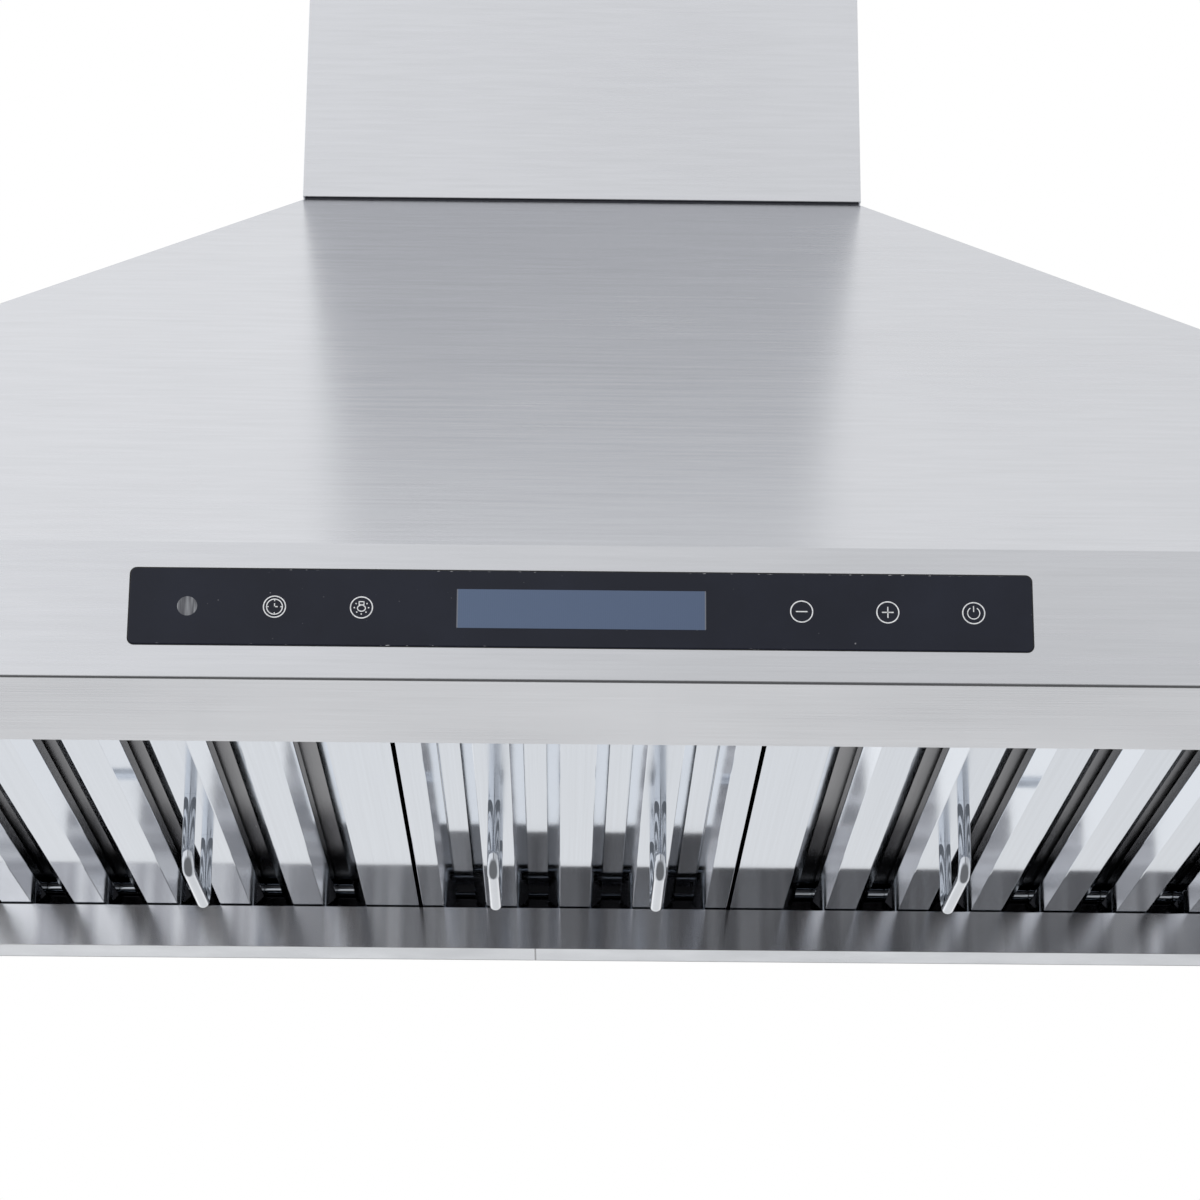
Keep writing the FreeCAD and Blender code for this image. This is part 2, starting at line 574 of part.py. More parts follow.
def make_lamp(side, sign):
    """Round lamp in the front flange: bezel, lens and body with cooling fins."""
    centre = {"base_x": sign + "dims.lamp_x", "base_y": "-dims.lamp_y"}
    bezel = new_body("lamp_bezel_" + side, **centre)
    ring = draw(bezel, "XZ")
    neck = "dims.lamp_hole - dims.fit_gap"
    outline(ring, [("dims.lens_rad + dims.fit_gap", "-dims.bezel_thick"),
                   ("dims.bezel_rad - dims.bezel_thick", "-dims.bezel_thick"),
                   ("dims.bezel_rad", "0"), (neck, "0"), (neck, "2 * dims.sheet"),
                   ("dims.lens_rad + dims.fit_gap", "2 * dims.sheet")])
    revolve(bezel, ring, "V_Axis")
    lens = new_body("lamp_lens_" + side, **centre)
    disc = circle(draw(lens, "XY", "-dims.bezel_thick + dims.fit_gap"), "0", "0", "dims.lens_rad")
    pad(lens, disc, "dims.lens_thick")
    lamp = new_body("lamp_body_" + side, **centre)
    can = circle(draw(lamp, "XY", "2 * dims.sheet"), "0", "0", "dims.lamp_body_rad")
    pad(lamp, can, "dims.lamp_body_high")
    groove = draw(lamp, "XZ")
    rectangle(groove, "dims.fin_root", "dims.lamp_body_rad + dims.sheet",
              "5 * dims.sheet", "7 * dims.sheet")
    first = lamp.newObject("PartDesign::Groove", "lamp_groove_" + side)
    first.Profile = groove
    first.ReferenceAxis = (groove, ["V_Axis"])
    first.Angle = 360.0
    repeat_along(lamp, first, groove, "4 * dims.sheet", "3", "V_Axis")


# ---------------------------------------------------------------- filters

FILTER_LOW = "(dims.rail_high + dims.body_gap)"
SIDE_X = "(dims.centre_filter_wide / 2 + dims.filter_seam + dims.side_filter_wide / 2)"
BEVEL_IN = "dims.skin * 0.4142136"
"""How far the inner corner of the skin sits along the sheet at a 45-degree bend."""


def hat_section(sketch, middle, levels):
    """Lower baffle: flat bottom, two chamfers and two upright legs, in one thin skin."""
    half = "(dims.baffle_pitch - dims.baffle_slot) / 2"
    right = [("%s - dims.chamfer" % half, "0"), (half, "dims.chamfer"), (half, levels["leg"]),
             ("%s - dims.skin" % half, levels["leg"]),
             ("%s - dims.skin" % half, "dims.chamfer + %s" % BEVEL_IN),
             ("%s - dims.chamfer - %s" % (half, BEVEL_IN), "dims.skin")]
    right_side = [("%s + %s" % (middle, across), up) for across, up in right]
    left_side = [("%s - (%s)" % (middle, across), up) for across, up in reversed(right)]
    return outline(sketch, right_side + left_side)


def hood_section(sketch, middle, levels):
    """Upper baffle: an upside-down trough that covers one slot."""
    half, top = "dims.upper_half", levels["top"]
    low = "%s - %s" % (top, levels["drop"])
    bevel = "dims.chamfer / 2"
    right = [(half, low), (half, "%s - %s" % (top, bevel)), ("%s - %s" % (half, bevel), top)]
    inner = [("%s - %s - %s" % (half, bevel, BEVEL_IN), "%s - dims.skin" % top),
             ("%s - dims.skin" % half, "%s - %s - %s" % (top, bevel, BEVEL_IN)),
             ("%s - dims.skin" % half, low)]
    outer_points = right + [("-(%s)" % across, up) for across, up in reversed(right)]
    inner_points = [("-(%s)" % across, up) for across, up in reversed(inner)] + inner
    shifted = [("%s + %s" % (middle, across), up) for across, up in outer_points + inner_points]
    return outline(sketch, shifted)


def side_member(body, half, last_slot, leg, sign):
    """Formed side of a filter frame: outer wall, flat, chamfer and leg."""
    start = "dims.filter_back"
    section = draw(body, "XZ", start)
    corners = [(half, "0"), (half, "dims.filter_high"),
               ("%s - dims.top_lip" % half, "dims.filter_high"),
               ("%s - dims.top_lip" % half, "dims.filter_high - dims.skin"),
               ("%s - dims.skin" % half, "dims.filter_high - dims.skin"),
               ("%s - dims.skin" % half, "dims.skin"),
               ("%s + dims.chamfer + %s" % (last_slot, BEVEL_IN), "dims.skin"),
               ("%s + dims.skin" % last_slot, "dims.chamfer + %s" % BEVEL_IN),
               ("%s + dims.skin" % last_slot, leg), (last_slot, leg), (last_slot, "dims.chamfer"),
               ("%s + dims.chamfer" % last_slot, "0")]
    outline(section, [("%s(%s)" % (sign, across), up) for across, up in corners])
    return pad(body, section, "dims.filter_front - dims.filter_back")


def end_channel(body, half, wall, inward):
    """Channel across one end of a filter; inward is + or - along Y from its wall."""
    section = draw(body, "YZ", "-(%s)" % half)
    lip = "%s %s dims.end_lip" % (wall, inward)
    top = "%s %s dims.top_lip" % (wall, inward)
    skin = "%s %s dims.skin" % (wall, inward)
    outline(section, [(wall, "0"), (wall, "dims.filter_high"), (top, "dims.filter_high"),
                      (top, "dims.filter_high - dims.skin"), (skin, "dims.filter_high - dims.skin"),
                      (skin, "dims.skin"), (lip, "dims.skin"), (lip, "0")])
    pad(body, section, "2 * (%s)" % half)
    rod = draw(body, "YZ", "-(%s)" % half)
    circle(rod, "%s %s dims.end_lip / 2 %s dims.skin / 2" % (wall, inward, inward),
           "dims.rod_high", "dims.rod_rad")
    pad(body, rod, "2 * (%s)" % half)


def baffle_row(label, middle_x, section_of, levels, count):
    """A row of equal baffles, one solid each."""
    body = new_body(label, base_x=middle_x, base_z=FILTER_LOW)
    section = draw(body, "XZ", "dims.filter_back + dims.end_lip")
    section_of(section, "(1 - %s) / 2 * dims.baffle_pitch" % count, levels)
    first = pad(body, section, "dims.filter_front - dims.filter_back - 2 * dims.end_lip")
    repeat_along(body, first, section, "dims.baffle_pitch", count)


def wire_handles(label, middle_x, handle_x):
    """Two U-shaped wire handles welded under the baffles."""
    body = new_body(label, base_x=middle_x, base_z=FILTER_LOW)
    near = FRONT + " + dims.handle_near"
    far = near + " + dims.handle_span"
    drop, bend = "-dims.handle_drop", "dims.handle_bend"
    path = draw(body, "YZ", handle_x)
    near_y = dims.handle_near - dims.hood_depth
    far_y = near_y + dims.handle_span
    low_z = -dims.handle_drop
    turn = dims.handle_bend
    joints = [(near, "0"), (near, "%s + %s" % (drop, bend)), ("%s + %s" % (near, bend), drop),
              ("%s - %s" % (far, bend), drop), (far, "%s + %s" % (drop, bend)), (far, "0")]
    spots = [FreeCAD.Vector(across, up, 0) for across, up in (
        (near_y, 0), (near_y, low_z + turn), (near_y + turn, low_z),
        (far_y - turn, low_z), (far_y, low_z + turn), (far_y, 0))]
    for run in range(3):
        path.addGeometry(Part.LineSegment(spots[2 * run], spots[2 * run + 1]), False)
        for vertex in (1, 2):
            across, up = joints[2 * run + vertex - 1]
            drive(path, "DistanceX", run, vertex, across)
            drive(path, "DistanceY", run, vertex, up)
    corners = [(FreeCAD.Vector(near_y + turn, low_z + turn, 0), 1.0, "%s + %s" % (near, bend)),
               (FreeCAD.Vector(far_y - turn, low_z + turn, 0), 1.5, "%s - %s" % (far, bend))]
    for run, (middle, half_turns, centre) in enumerate(corners):
        ring = Part.Circle(middle, FreeCAD.Vector(0, 0, 1), turn)
        start = half_turns * math.pi
        arc = path.addGeometry(Part.ArcOfCircle(ring, start, start + math.pi / 2), False)
        path.addConstraint(Sketcher.Constraint("Coincident", arc, 1, run, 2))
        path.addConstraint(Sketcher.Constraint("Coincident", arc, 2, run + 1, 1))
        drive(path, "DistanceX", arc, 3, centre)
    wire = circle(draw(body, "XY"), handle_x, near, "dims.handle_wire")
    pipe = body.newObject("PartDesign::AdditivePipe", label + "_pipe")
    pipe.Profile = wire
    pipe.Spine = (path, [])
    mirror(body, [pipe], "YZ")


def make_filter(side, middle_x, kind):
    """One lift-out baffle filter; the narrow centre kind is shallower than the side kind."""
    name = "filter_" + side
    slots, wide = "dims.%s_slots" % kind, "dims.%s_filter_wide" % kind
    levels = {key: "dims.%s_%s" % (kind, key) for key in ("leg", "top", "drop")}
    half = wide + " / 2"
    last_slot = "((%s - 1) / 2 * dims.baffle_pitch + dims.baffle_slot / 2)" % slots
    frame = new_body(name + "_frame", base_x=middle_x, base_z=FILTER_LOW)
    for sign in ("", "-"):
        side_member(frame, half, last_slot, levels["leg"], sign)
    end_channel(frame, half, "-dims.filter_back", "-")
    end_channel(frame, half, "-dims.filter_front", "+")
    baffle_row(name + "_lower_baffles", middle_x, hat_section, levels, "(%s - 1)" % slots)
    baffle_row(name + "_upper_baffles", middle_x, hood_section, levels, slots)
    wire_handles(name + "_handles", middle_x, "dims.%s_handle_x" % kind)


# ---------------------------------------------------------------- blower

POST_ANGLES = (0.0, 120.0, 240.0)
SINE_60 = "0.8660254"
WHEEL = {"base_y": "-dims.wheel_y", "base_z": "dims.wheel_z"}
CHEEK = "(dims.scroll_half + dims.scroll_sheet)"
STACK_START = "(dims.motor_start + (dims.motor_long - dims.stator_long) / 2)"
ARM_LEVEL = "(dims.motor_start + dims.motor_long / 2)"


def scroll_edges(across, grow, top):
    """Inside of the scroll at one X, grown outwards: three quarter arcs and two walls."""
    step = dims.scroll_step
    start = dims.scroll_start
    right_y = -dims.throat_back - (start + 2 * step)
    centre_z = dims.wheel_z + step / 2
    tongue_y = -dims.throat_front - grow
    right = FreeCAD.Vector(across, right_y, centre_z)
    low = FreeCAD.Vector(across, right_y, centre_z - step)
    left = FreeCAD.Vector(across, right_y - step, centre_z - step)

    def quarter(centre, radius, begin_y, begin_z, end_y, end_z):
        """Arc between two unit directions from its centre."""
        reach = radius + grow
        begin = FreeCAD.Vector(0, begin_y, begin_z)
        end = FreeCAD.Vector(0, end_y, end_z)
        halfway = (begin + end).normalize()
        return Part.Arc(centre + begin * reach, centre + halfway * reach, centre + end * reach)

    reach = start + grow
    lean = (tongue_y - left.y) / reach
    tongue = quarter(left, start, lean, (1 - lean * lean) ** 0.5, -1, 0).toShape()
    front = quarter(low, start + step, -1, 0, 0, -1).toShape()
    bottom = quarter(right, start + 2 * step, 0, -1, 1, 0).toShape()
    throat_back = FreeCAD.Vector(across, -dims.throat_back + grow, centre_z)
    back_wall = Part.makeLine(throat_back, FreeCAD.Vector(across, throat_back.y, top))
    tongue_tip = tongue.Vertexes[0].Point
    front_wall = Part.makeLine(FreeCAD.Vector(across, tongue_y, top), tongue_tip)
    return [front_wall, tongue, front, bottom, back_wall]


def hand_made(label, shape):
    """A sub-part whose shape comes from arcs and sweeps that suit no sketch."""
    feature = doc.addObject("Part::Feature", label)
    feature.Label = label
    feature.Shape = shape
    return place(feature)


def make_scroll():
    """Scroll wall and its two side plates with inlet and screw holes."""
    top = dims.canopy_top - dims.fit_gap
    half, thick = dims.scroll_half, dims.scroll_sheet
    along = FreeCAD.Vector(1, 0, 0)
    inner = scroll_edges(-half, 0.0, top)
    outer = scroll_edges(-half, thick, top)
    ends = [Part.makeLine(inner[0].Vertexes[0].Point, outer[0].Vertexes[0].Point),
            Part.makeLine(inner[-1].Vertexes[-1].Point, outer[-1].Vertexes[-1].Point)]
    wall = Part.Face(Part.Wire(Part.__sortEdges__(inner + outer + ends)))
    hand_made("blower_scroll", wall.extrude(along * 2 * half))
    wheel = FreeCAD.Vector(-half - 2 * thick, -dims.wheel_y, dims.wheel_z)
    reach = 2 * half + 4 * thick
    holes = [Part.makeCylinder(dims.inlet_rad + 2 * thick, reach, wheel, along)]
    for angle in POST_ANGLES:
        arm = FreeCAD.Rotation(along, angle).multVec(FreeCAD.Vector(0, 0, dims.post_orbit))
        holes.append(Part.makeCylinder(dims.post_bore, reach, wheel + arm, along))
    for side, start in (("left", -half - thick), ("right", half)):
        rim = scroll_edges(start, thick, top)
        lid = Part.makeLine(rim[0].Vertexes[0].Point, rim[-1].Vertexes[-1].Point)
        cheek = Part.Face(Part.Wire(Part.__sortEdges__(rim + [lid])))
        hand_made("blower_side_" + side, cheek.extrude(along * thick).cut(holes))


def make_inlet_rings():
    """Bell mouths on both side plates."""
    body = new_body("inlet_rings", **WHEEL)
    section = draw(body, "XY")
    neck = "dims.inlet_rad + dims.scroll_sheet"
    tip = "%s - 4 * dims.sheet" % CHEEK
    outline(section, [(tip, "dims.inlet_rad"),
                      ("%s + dims.scroll_sheet" % CHEEK, "dims.inlet_rad"),
                      ("%s + 3 * dims.scroll_sheet" % CHEEK, neck),
                      ("%s + dims.scroll_sheet" % CHEEK, "dims.inlet_lip"),
                      (CHEEK, "dims.inlet_lip"), (CHEEK, neck), (tip, neck)])
    ring = revolve(body, section)
    mirror(body, [ring], "YZ")


def make_impeller():
    """Double-inlet wheel: centre disc with hub, two end rings and a ring of blades."""
    body = new_body("impeller", **WHEEL)
    section = draw(body, "XY")
    bore = "dims.shaft_rad + dims.seat_gap"
    outline(section, [("-dims.hub_half", bore), ("dims.hub_half", bore),
                      ("dims.hub_half", "dims.hub_rad"), ("dims.wheel_sheet / 2", "dims.hub_rad"),
                      ("dims.wheel_sheet / 2", "dims.wheel_rad"),
                      ("-dims.wheel_sheet / 2", "dims.wheel_rad"),
                      ("-dims.wheel_sheet / 2", "dims.hub_rad"), ("-dims.hub_half", "dims.hub_rad")])
    revolve(body, section)
    rims = draw(body, "XY")
    for start, end in (("-dims.wheel_half", "-dims.wheel_half + dims.wheel_sheet"),
                       ("dims.wheel_half - dims.wheel_sheet", "dims.wheel_half")):
        rectangle(rims, start, end, "dims.wheel_eye", "dims.wheel_rad")
    revolve(body, rims)
    blade = draw(body, "YZ", "-dims.wheel_half")
    lean = "dims.wheel_sheet * 5"
    root, tip = "dims.wheel_eye + dims.fit_gap", "dims.wheel_rad - 2 * dims.fit_gap"
    outline(blade, [("0", root), ("dims.wheel_sheet", root), ("%s + dims.wheel_sheet" % lean, tip),
                    (lean, tip)])
    vane = pad(body, blade, "2 * dims.wheel_half")
    repeat_round(body, [vane], blade, "dims.blade_count")


def make_shaft_and_rotor():
    """Motor shaft, rotor stack and the nut that holds the wheel."""
    shaft = new_body("motor_shaft", **WHEEL)
    start = "-dims.hub_half - 8 * dims.sheet"
    rod = circle(draw(shaft, "YZ", start), "0", "0", "dims.shaft_rad")
    pad(shaft, rod, "dims.motor_start + dims.motor_long - dims.sheet - (%s)" % start)
    rotor = new_body("motor_rotor", **WHEEL)
    stack = draw(rotor, "YZ", "%s + dims.sheet" % STACK_START)
    circle(stack, "0", "0", "dims.rotor_rad")
    circle(stack, "0", "0", "dims.shaft_rad + dims.seat_gap")
    pad(rotor, stack, "dims.stator_long - 2 * dims.sheet")
    nut = new_body("impeller_nut", **WHEEL)
    hexagon = draw(nut, "YZ", "-dims.hub_half - 6 * dims.sheet")
    corner = "dims.nut_corner"
    flat = "%s * %s" % (corner, SINE_60)
    outline(hexagon, [(corner, "0"), (corner + " / 2", flat), ("-%s / 2" % corner, flat),
                      ("-" + corner, "0"), ("-%s / 2" % corner, "-" + flat),
                      (corner + " / 2", "-" + flat)])
    circle(hexagon, "0", "0", "dims.shaft_rad + dims.seat_gap")
    pad(nut, hexagon, "6 * dims.sheet - dims.fit_gap")


def make_motor():
    """Motor casing with bearing seats, stator with windings, and two ball bearings."""
    casing = new_body("motor_casing", **WHEEL)
    section = draw(casing, "XY")
    begin, end = "dims.motor_start", "(dims.motor_start + dims.motor_long)"
    wall = "dims.motor_wall"
    eye = "dims.shaft_eye"
    seat = "dims.bearing_rad + dims.seat_gap"
    boss = "dims.bearing_rad + 3 * dims.sheet"
    inner = "dims.motor_rad - dims.motor_wall"
    left = [("%s + %s" % (begin, wall), inner), ("%s + %s" % (begin, wall), boss),
            ("%s + %s + dims.bearing_wide" % (begin, wall), boss),
            ("%s + %s + dims.bearing_wide" % (begin, wall), seat),
            ("%s + %s" % (begin, wall), seat), ("%s + %s" % (begin, wall), eye),
            (begin, eye), (begin, "dims.motor_rad")]
    right = [(end, "dims.motor_rad"), (end, eye), ("%s - %s" % (end, wall), eye),
             ("%s - %s" % (end, wall), seat),
             ("%s - %s - dims.bearing_wide" % (end, wall), seat),
             ("%s - %s - dims.bearing_wide" % (end, wall), boss),
             ("%s - %s" % (end, wall), boss), ("%s - %s" % (end, wall), inner)]
    outline(section, left + right)
    revolve(casing, section)
    stator = new_body("motor_stator", **WHEEL)
    coils = draw(stator, "XY")
    overhang = "5 * dims.sheet"
    rim = "%s - dims.fit_gap" % inner
    stop = "(%s + dims.stator_long)" % STACK_START
    outline(coils, [(STACK_START, "dims.stator_bore"), (stop, "dims.stator_bore"),
                    (stop, "dims.stator_bore + 2 * dims.sheet"),
                    ("%s + %s" % (stop, overhang), "dims.stator_bore + 2 * dims.sheet"),
                    ("%s + %s" % (stop, overhang), "%s - 3 * dims.sheet" % rim),
                    (stop, "%s - 3 * dims.sheet" % rim), (stop, rim), (STACK_START, rim),
                    (STACK_START, "%s - 3 * dims.sheet" % rim),
                    ("%s - %s" % (STACK_START, overhang), "%s - 3 * dims.sheet" % rim),
                    ("%s - %s" % (STACK_START, overhang), "dims.stator_bore + 2 * dims.sheet"),
                    (STACK_START, "dims.stator_bore + 2 * dims.sheet")])
    revolve(stator, coils)
    bearings = new_body("motor_bearings", **WHEEL)
    races = draw(bearings, "XY")
    bore = "dims.shaft_rad + dims.running_gap"
    for low, high in (("%s + %s" % (begin, wall), "%s + %s + dims.bearing_wide" % (begin, wall)),
                      ("%s - %s - dims.bearing_wide" % (end, wall), "%s - %s" % (end, wall))):
        rectangle(races, low, high, bore, "dims.bearing_rad")
    revolve(bearings, races)


def make_motor_bracket():
    """Clamp ring round the motor with three arms and three hollow posts to the side plate."""
    bracket = new_body("motor_bracket", **WHEEL)
    ring = draw(bracket, "YZ", ARM_LEVEL)
    circle(ring, "0", "0", "dims.motor_rad + 4 * dims.sheet")
    circle(ring, "0", "0", "dims.motor_rad + dims.fit_gap")
    pad(bracket, ring, "2 * dims.arm_thick")
    arm = draw(bracket, "YZ", ARM_LEVEL)
    rectangle(arm, "-dims.arm_wide / 2", "dims.arm_wide / 2", "dims.motor_rad + 2 * dims.sheet",
              "dims.post_orbit")
    arm_pad = pad(bracket, arm, "dims.arm_thick")
    post = draw(bracket, "YZ", CHEEK + " + dims.grommet_thick + dims.fit_gap")
    circle(post, "0", "dims.post_orbit", "dims.post_rad")
    post_pad = pad(bracket, post, "%s + dims.arm_thick - %s - dims.grommet_thick - dims.fit_gap"
                   % (ARM_LEVEL, CHEEK))
    repeat_round(bracket, [arm_pad, post_pad], arm, "3")
    bores = draw(bracket, "YZ", CHEEK)
    for across, up in post_centres():
        circle(bores, across, up, "dims.post_bore")
    bracket.Tip = pocket(bracket, bores, "dims.motor_long", along_normal=True)


def post_centres():
    """Centres of the three posts in the YZ plane, as expressions."""
    across = "dims.post_orbit * " + SINE_60
    return [("0", "dims.post_orbit"), ("-" + across, "-dims.post_orbit / 2"),
            (across, "-dims.post_orbit / 2")]


def make_grommets_and_screws():
    """Rubber grommets under the posts and the long screws through them."""
    grommets = new_body("motor_grommets", **WHEEL)
    rings = draw(grommets, "YZ", CHEEK + " + dims.fit_gap / 2")
    screws = new_body("blower_screws", **WHEEL)
    shanks = draw(screws, "YZ", "dims.scroll_half - 3 * dims.sheet")
    heads = draw(screws, "YZ", ARM_LEVEL + " + dims.arm_thick")
    for across, up in post_centres():
        circle(rings, across, up, "dims.post_rad + dims.sheet")
        circle(rings, across, up, "dims.post_bore")
        circle(shanks, across, up, "dims.screw_rad")
        circle(heads, across, up, "dims.screw_head")
    pad(grommets, rings, "dims.grommet_thick")
    pad(screws, shanks, "%s + dims.arm_thick - dims.scroll_half + 3 * dims.sheet" % ARM_LEVEL)
    pad(screws, heads, "dims.screw_head_high")


# ---------------------------------------------------------------- outlet and dampers

OUTLET = {"base_y": "-dims.outlet_y", "base_z": "(dims.canopy_top + dims.top_plate_thick)"}


def make_collar():
    """Duct collar with a foot flange, an inner stop ring and holes for the damper rod."""
    gasket = new_body("collar_gasket", **OUTLET)
    pad_ring = draw(gasket, "XY")
    circle(pad_ring, "0", "0", "dims.collar_foot")
    circle(pad_ring, "0", "0", "dims.collar_rad - dims.collar_sheet")
    pad(gasket, pad_ring, "dims.gasket_thick")
    collar = new_body("outlet_collar", **OUTLET)
    section = draw(collar, "XZ")
    inner = "dims.collar_rad - dims.collar_sheet"
    foot = "dims.gasket_thick"
    stop_top = "dims.damper_rise - dims.flap_thick / 2 - dims.body_gap"
    stop_in = "%s - dims.stop_wide" % inner
    outline(section, [(inner, foot), ("dims.collar_foot", foot),
                      ("dims.collar_foot", foot + " + dims.sheet"),
                      ("dims.collar_rad", foot + " + dims.sheet"),
                      ("dims.collar_rad", "dims.collar_high"), (inner, "dims.collar_high"),
                      (inner, stop_top), (stop_in, stop_top), (stop_in, stop_top + " - dims.sheet"),
                      (inner, stop_top + " - dims.sheet")])
    revolve(collar, section, "V_Axis")
    bore = circle(draw(collar, "YZ"), "0", "dims.damper_rise", "dims.damper_rod + dims.seat_gap")
    pocket_both(collar, bore, "dims.collar_foot * 2")
    rod = new_body("damper_rod", **OUTLET)
    pin = circle(draw(rod, "YZ", "-dims.collar_rad"), "0", "dims.damper_rise", "dims.damper_rod")
    pad(rod, pin, "dims.collar_rad * 2")


def make_damper(side, toward, first_knuckle):
    """Half-round flap with two knuckles on the damper rod; toward is its side of the rod."""
    name = "damper_flap_" + side
    turn = {"+": 0.0, "-": 180.0}[toward]
    thick = "dims.flap_thick"
    disc = primitive("Part::Cylinder", name + "_disc", {"Radius": "dims.flap_rad", "Height": thick},
                     ("0", "0", "-%s / 2" % thick), (FreeCAD.Vector(0, 0, 1), turn))
    disc.Angle = 180.0
    strip = primitive("Part::Box", name + "_strip",
                      {"Length": "dims.flap_rad * 2", "Width": "dims.flap_edge * 2",
                       "Height": "dims.flap_edge"},
                      ("-dims.flap_rad", "-dims.flap_edge", "-dims.flap_edge / 2"))
    pieces = [cut(name + "_leaf", disc, strip)]
    tang_y = {"+": "dims.tang_start", "-": "-dims.flap_edge - dims.sheet"}[toward]
    for number, start in enumerate((first_knuckle, first_knuckle + " + dims.knuckle_pitch")):
        pieces.append(primitive("Part::Cylinder", "%s_knuckle_%d" % (name, number),
                                {"Radius": "dims.knuckle_rad", "Height": "dims.knuckle_long"},
                                (start, "0", "0"), (FreeCAD.Vector(0, 1, 0), 90.0)))
        pieces.append(primitive("Part::Box", "%s_tang_%d" % (name, number),
                                {"Length": "dims.knuckle_long",
                                 "Width": "dims.flap_edge + dims.sheet - dims.tang_start",
                                 "Height": thick},
                                (start, tang_y, "-%s / 2" % thick)))
    bore = primitive("Part::Cylinder", name + "_bore",
                     {"Radius": "dims.damper_rod + dims.seat_gap", "Height": "dims.flap_rad * 2"},
                     ("-dims.flap_rad", "0", "0"), (FreeCAD.Vector(0, 1, 0), 90.0))
    flap = cut(name, fuse(name + "_joined", pieces), bore)
    flap.Label = name
    place(flap, "0", "-dims.outlet_y", "dims.canopy_top + dims.top_plate_thick + dims.damper_rise")


# ---------------------------------------------------------------- electrics

BOX_ENTRIES = ("dims.box_low + dims.box_entry_drop", "dims.box_high - dims.box_entry_drop")
POWER_PARTS = (("30", "34", "12", "30"), ("72", "14", "12", "24"), ("92", "14", "12", "24"))
"""Transformer and two relays: left edge, width, low edge and height from the box's corner."""
TURN_SHARE = 0.45
"""Part of the shorter of two runs that a cable's bend may take up."""


def make_power_box():
    """Sheet-metal box on the back panel with a lid, a power board and terminals."""
    wall = "dims.sheet"
    back = "dims.sheet + dims.fit_gap"
    box = new_body("power_box")
    shell = draw(box, "XZ", back)
    rectangle(shell, "dims.box_left", "dims.box_right", "dims.box_low", "dims.box_high")
    pad(box, shell, "dims.box_deep")
    hollow = draw(box, "XZ", "%s + %s" % (back, wall))
    rectangle(hollow, "dims.box_left + " + wall, "dims.box_right - " + wall,
              "dims.box_low + " + wall, "dims.box_high - " + wall)
    pocket(box, hollow, "dims.box_deep", along_normal=True)
    entries = draw(box, "YZ", "dims.box_left")
    for level in BOX_ENTRIES:
        circle(entries, "-dims.box_deep / 2", level, "dims.cable_rad + dims.fit_gap")
    pocket(box, entries, "2 * dims.sheet", along_normal=True)
    lid = new_body("power_box_lid")
    face = draw(lid, "XZ", "%s + dims.box_deep + dims.fit_gap" % back)
    rectangle(face, "dims.box_left", "dims.box_right", "dims.box_low", "dims.box_high")
    pad(lid, face, wall)
    board = new_body("power_board")
    plate = draw(board, "XZ", "%s + 7 * %s" % (back, wall))
    rectangle(plate, "dims.box_left + dims.power_board_side", "dims.box_right - dims.power_board_side",
              "dims.box_low + dims.power_board_rim", "dims.box_high - dims.power_board_rim")
    pad(board, plate, "dims.board_thick")
    parts = draw(board, "XZ", "%s + 7 * %s + dims.board_thick" % (back, wall))
    for left, wide, low, high in POWER_PARTS:
        rectangle(parts, "dims.box_left + " + left, "dims.box_left + %s + %s" % (left, wide),
                  "dims.box_low + " + low, "dims.box_low + %s + %s" % (low, high))
    pad(board, parts, "18 * dims.sheet")
    terminals = new_body("terminal_block")
    strip = draw(terminals, "XZ", "%s + 7 * %s + dims.board_thick + dims.fit_gap" % (back, wall))
    left, low = "dims.box_left + dims.terminal_left", "dims.box_low + dims.terminal_low"
    rectangle(strip, left, left + " + dims.terminal_wide", low, low + " + dims.terminal_high")
    pad(terminals, strip, "12 * dims.sheet")


def make_capacitor_and_gland():
    """Motor capacitor on the back panel, and the mains gland through the top plate."""
    capacitor = new_body("motor_capacitor", "-dims.capacitor_x",
                         "-dims.sheet - dims.fit_gap - dims.capacitor_rad", "dims.box_low")
    can = circle(draw(capacitor, "XY"), "0", "0", "dims.capacitor_rad")
    pad(capacitor, can, "dims.capacitor_high")
    stem = circle(draw(capacitor, "XY"), "0", "0", "dims.capacitor_rad / 3")
    pad(capacitor, stem, "dims.capacitor_high + 6 * dims.sheet")
    gland = new_body("cable_gland", "dims.gland_x", "-dims.gland_y", "dims.canopy_top")
    section = draw(gland, "XZ")
    plate_top = "dims.top_plate_thick"
    outline(section, [("dims.gland_bore", "-8 * dims.sheet"), ("dims.gland_rad", "-8 * dims.sheet"),
                      ("dims.gland_rad", plate_top), ("dims.gland_nut", plate_top),
                      ("dims.gland_nut", plate_top + " + 6 * dims.sheet"),
                      ("dims.gland_rad", plate_top + " + 6 * dims.sheet"),
                      ("dims.gland_tip", plate_top + " + 20 * dims.sheet"),
                      ("dims.gland_bore", plate_top + " + 20 * dims.sheet")])
    revolve(gland, section, "V_Axis")


def rounded_path(points):
    """A wire of straight runs joined by tangent arcs, as large as the runs allow."""
    edges = []
    start = points[0]
    for before, corner, after in zip(points, points[1:], points[2:]):
        reach = TURN_SHARE * min(corner.distanceToPoint(before), corner.distanceToPoint(after))
        back = (before - corner).normalize() * reach
        ahead = (after - corner).normalize() * reach
        half_turn = (corner - before).getAngle(after - corner) / 2
        radius = reach / math.tan(half_turn)
        sag = radius / math.cos(half_turn) - radius
        middle = corner + (back + ahead).normalize() * sag
        edges.append(Part.makeLine(start, corner + back))
        edges.append(Part.Arc(corner + back, middle, corner + ahead).toShape())
        start = corner + ahead
    edges.append(Part.makeLine(start, points[-1]))
    return Part.Wire(edges)


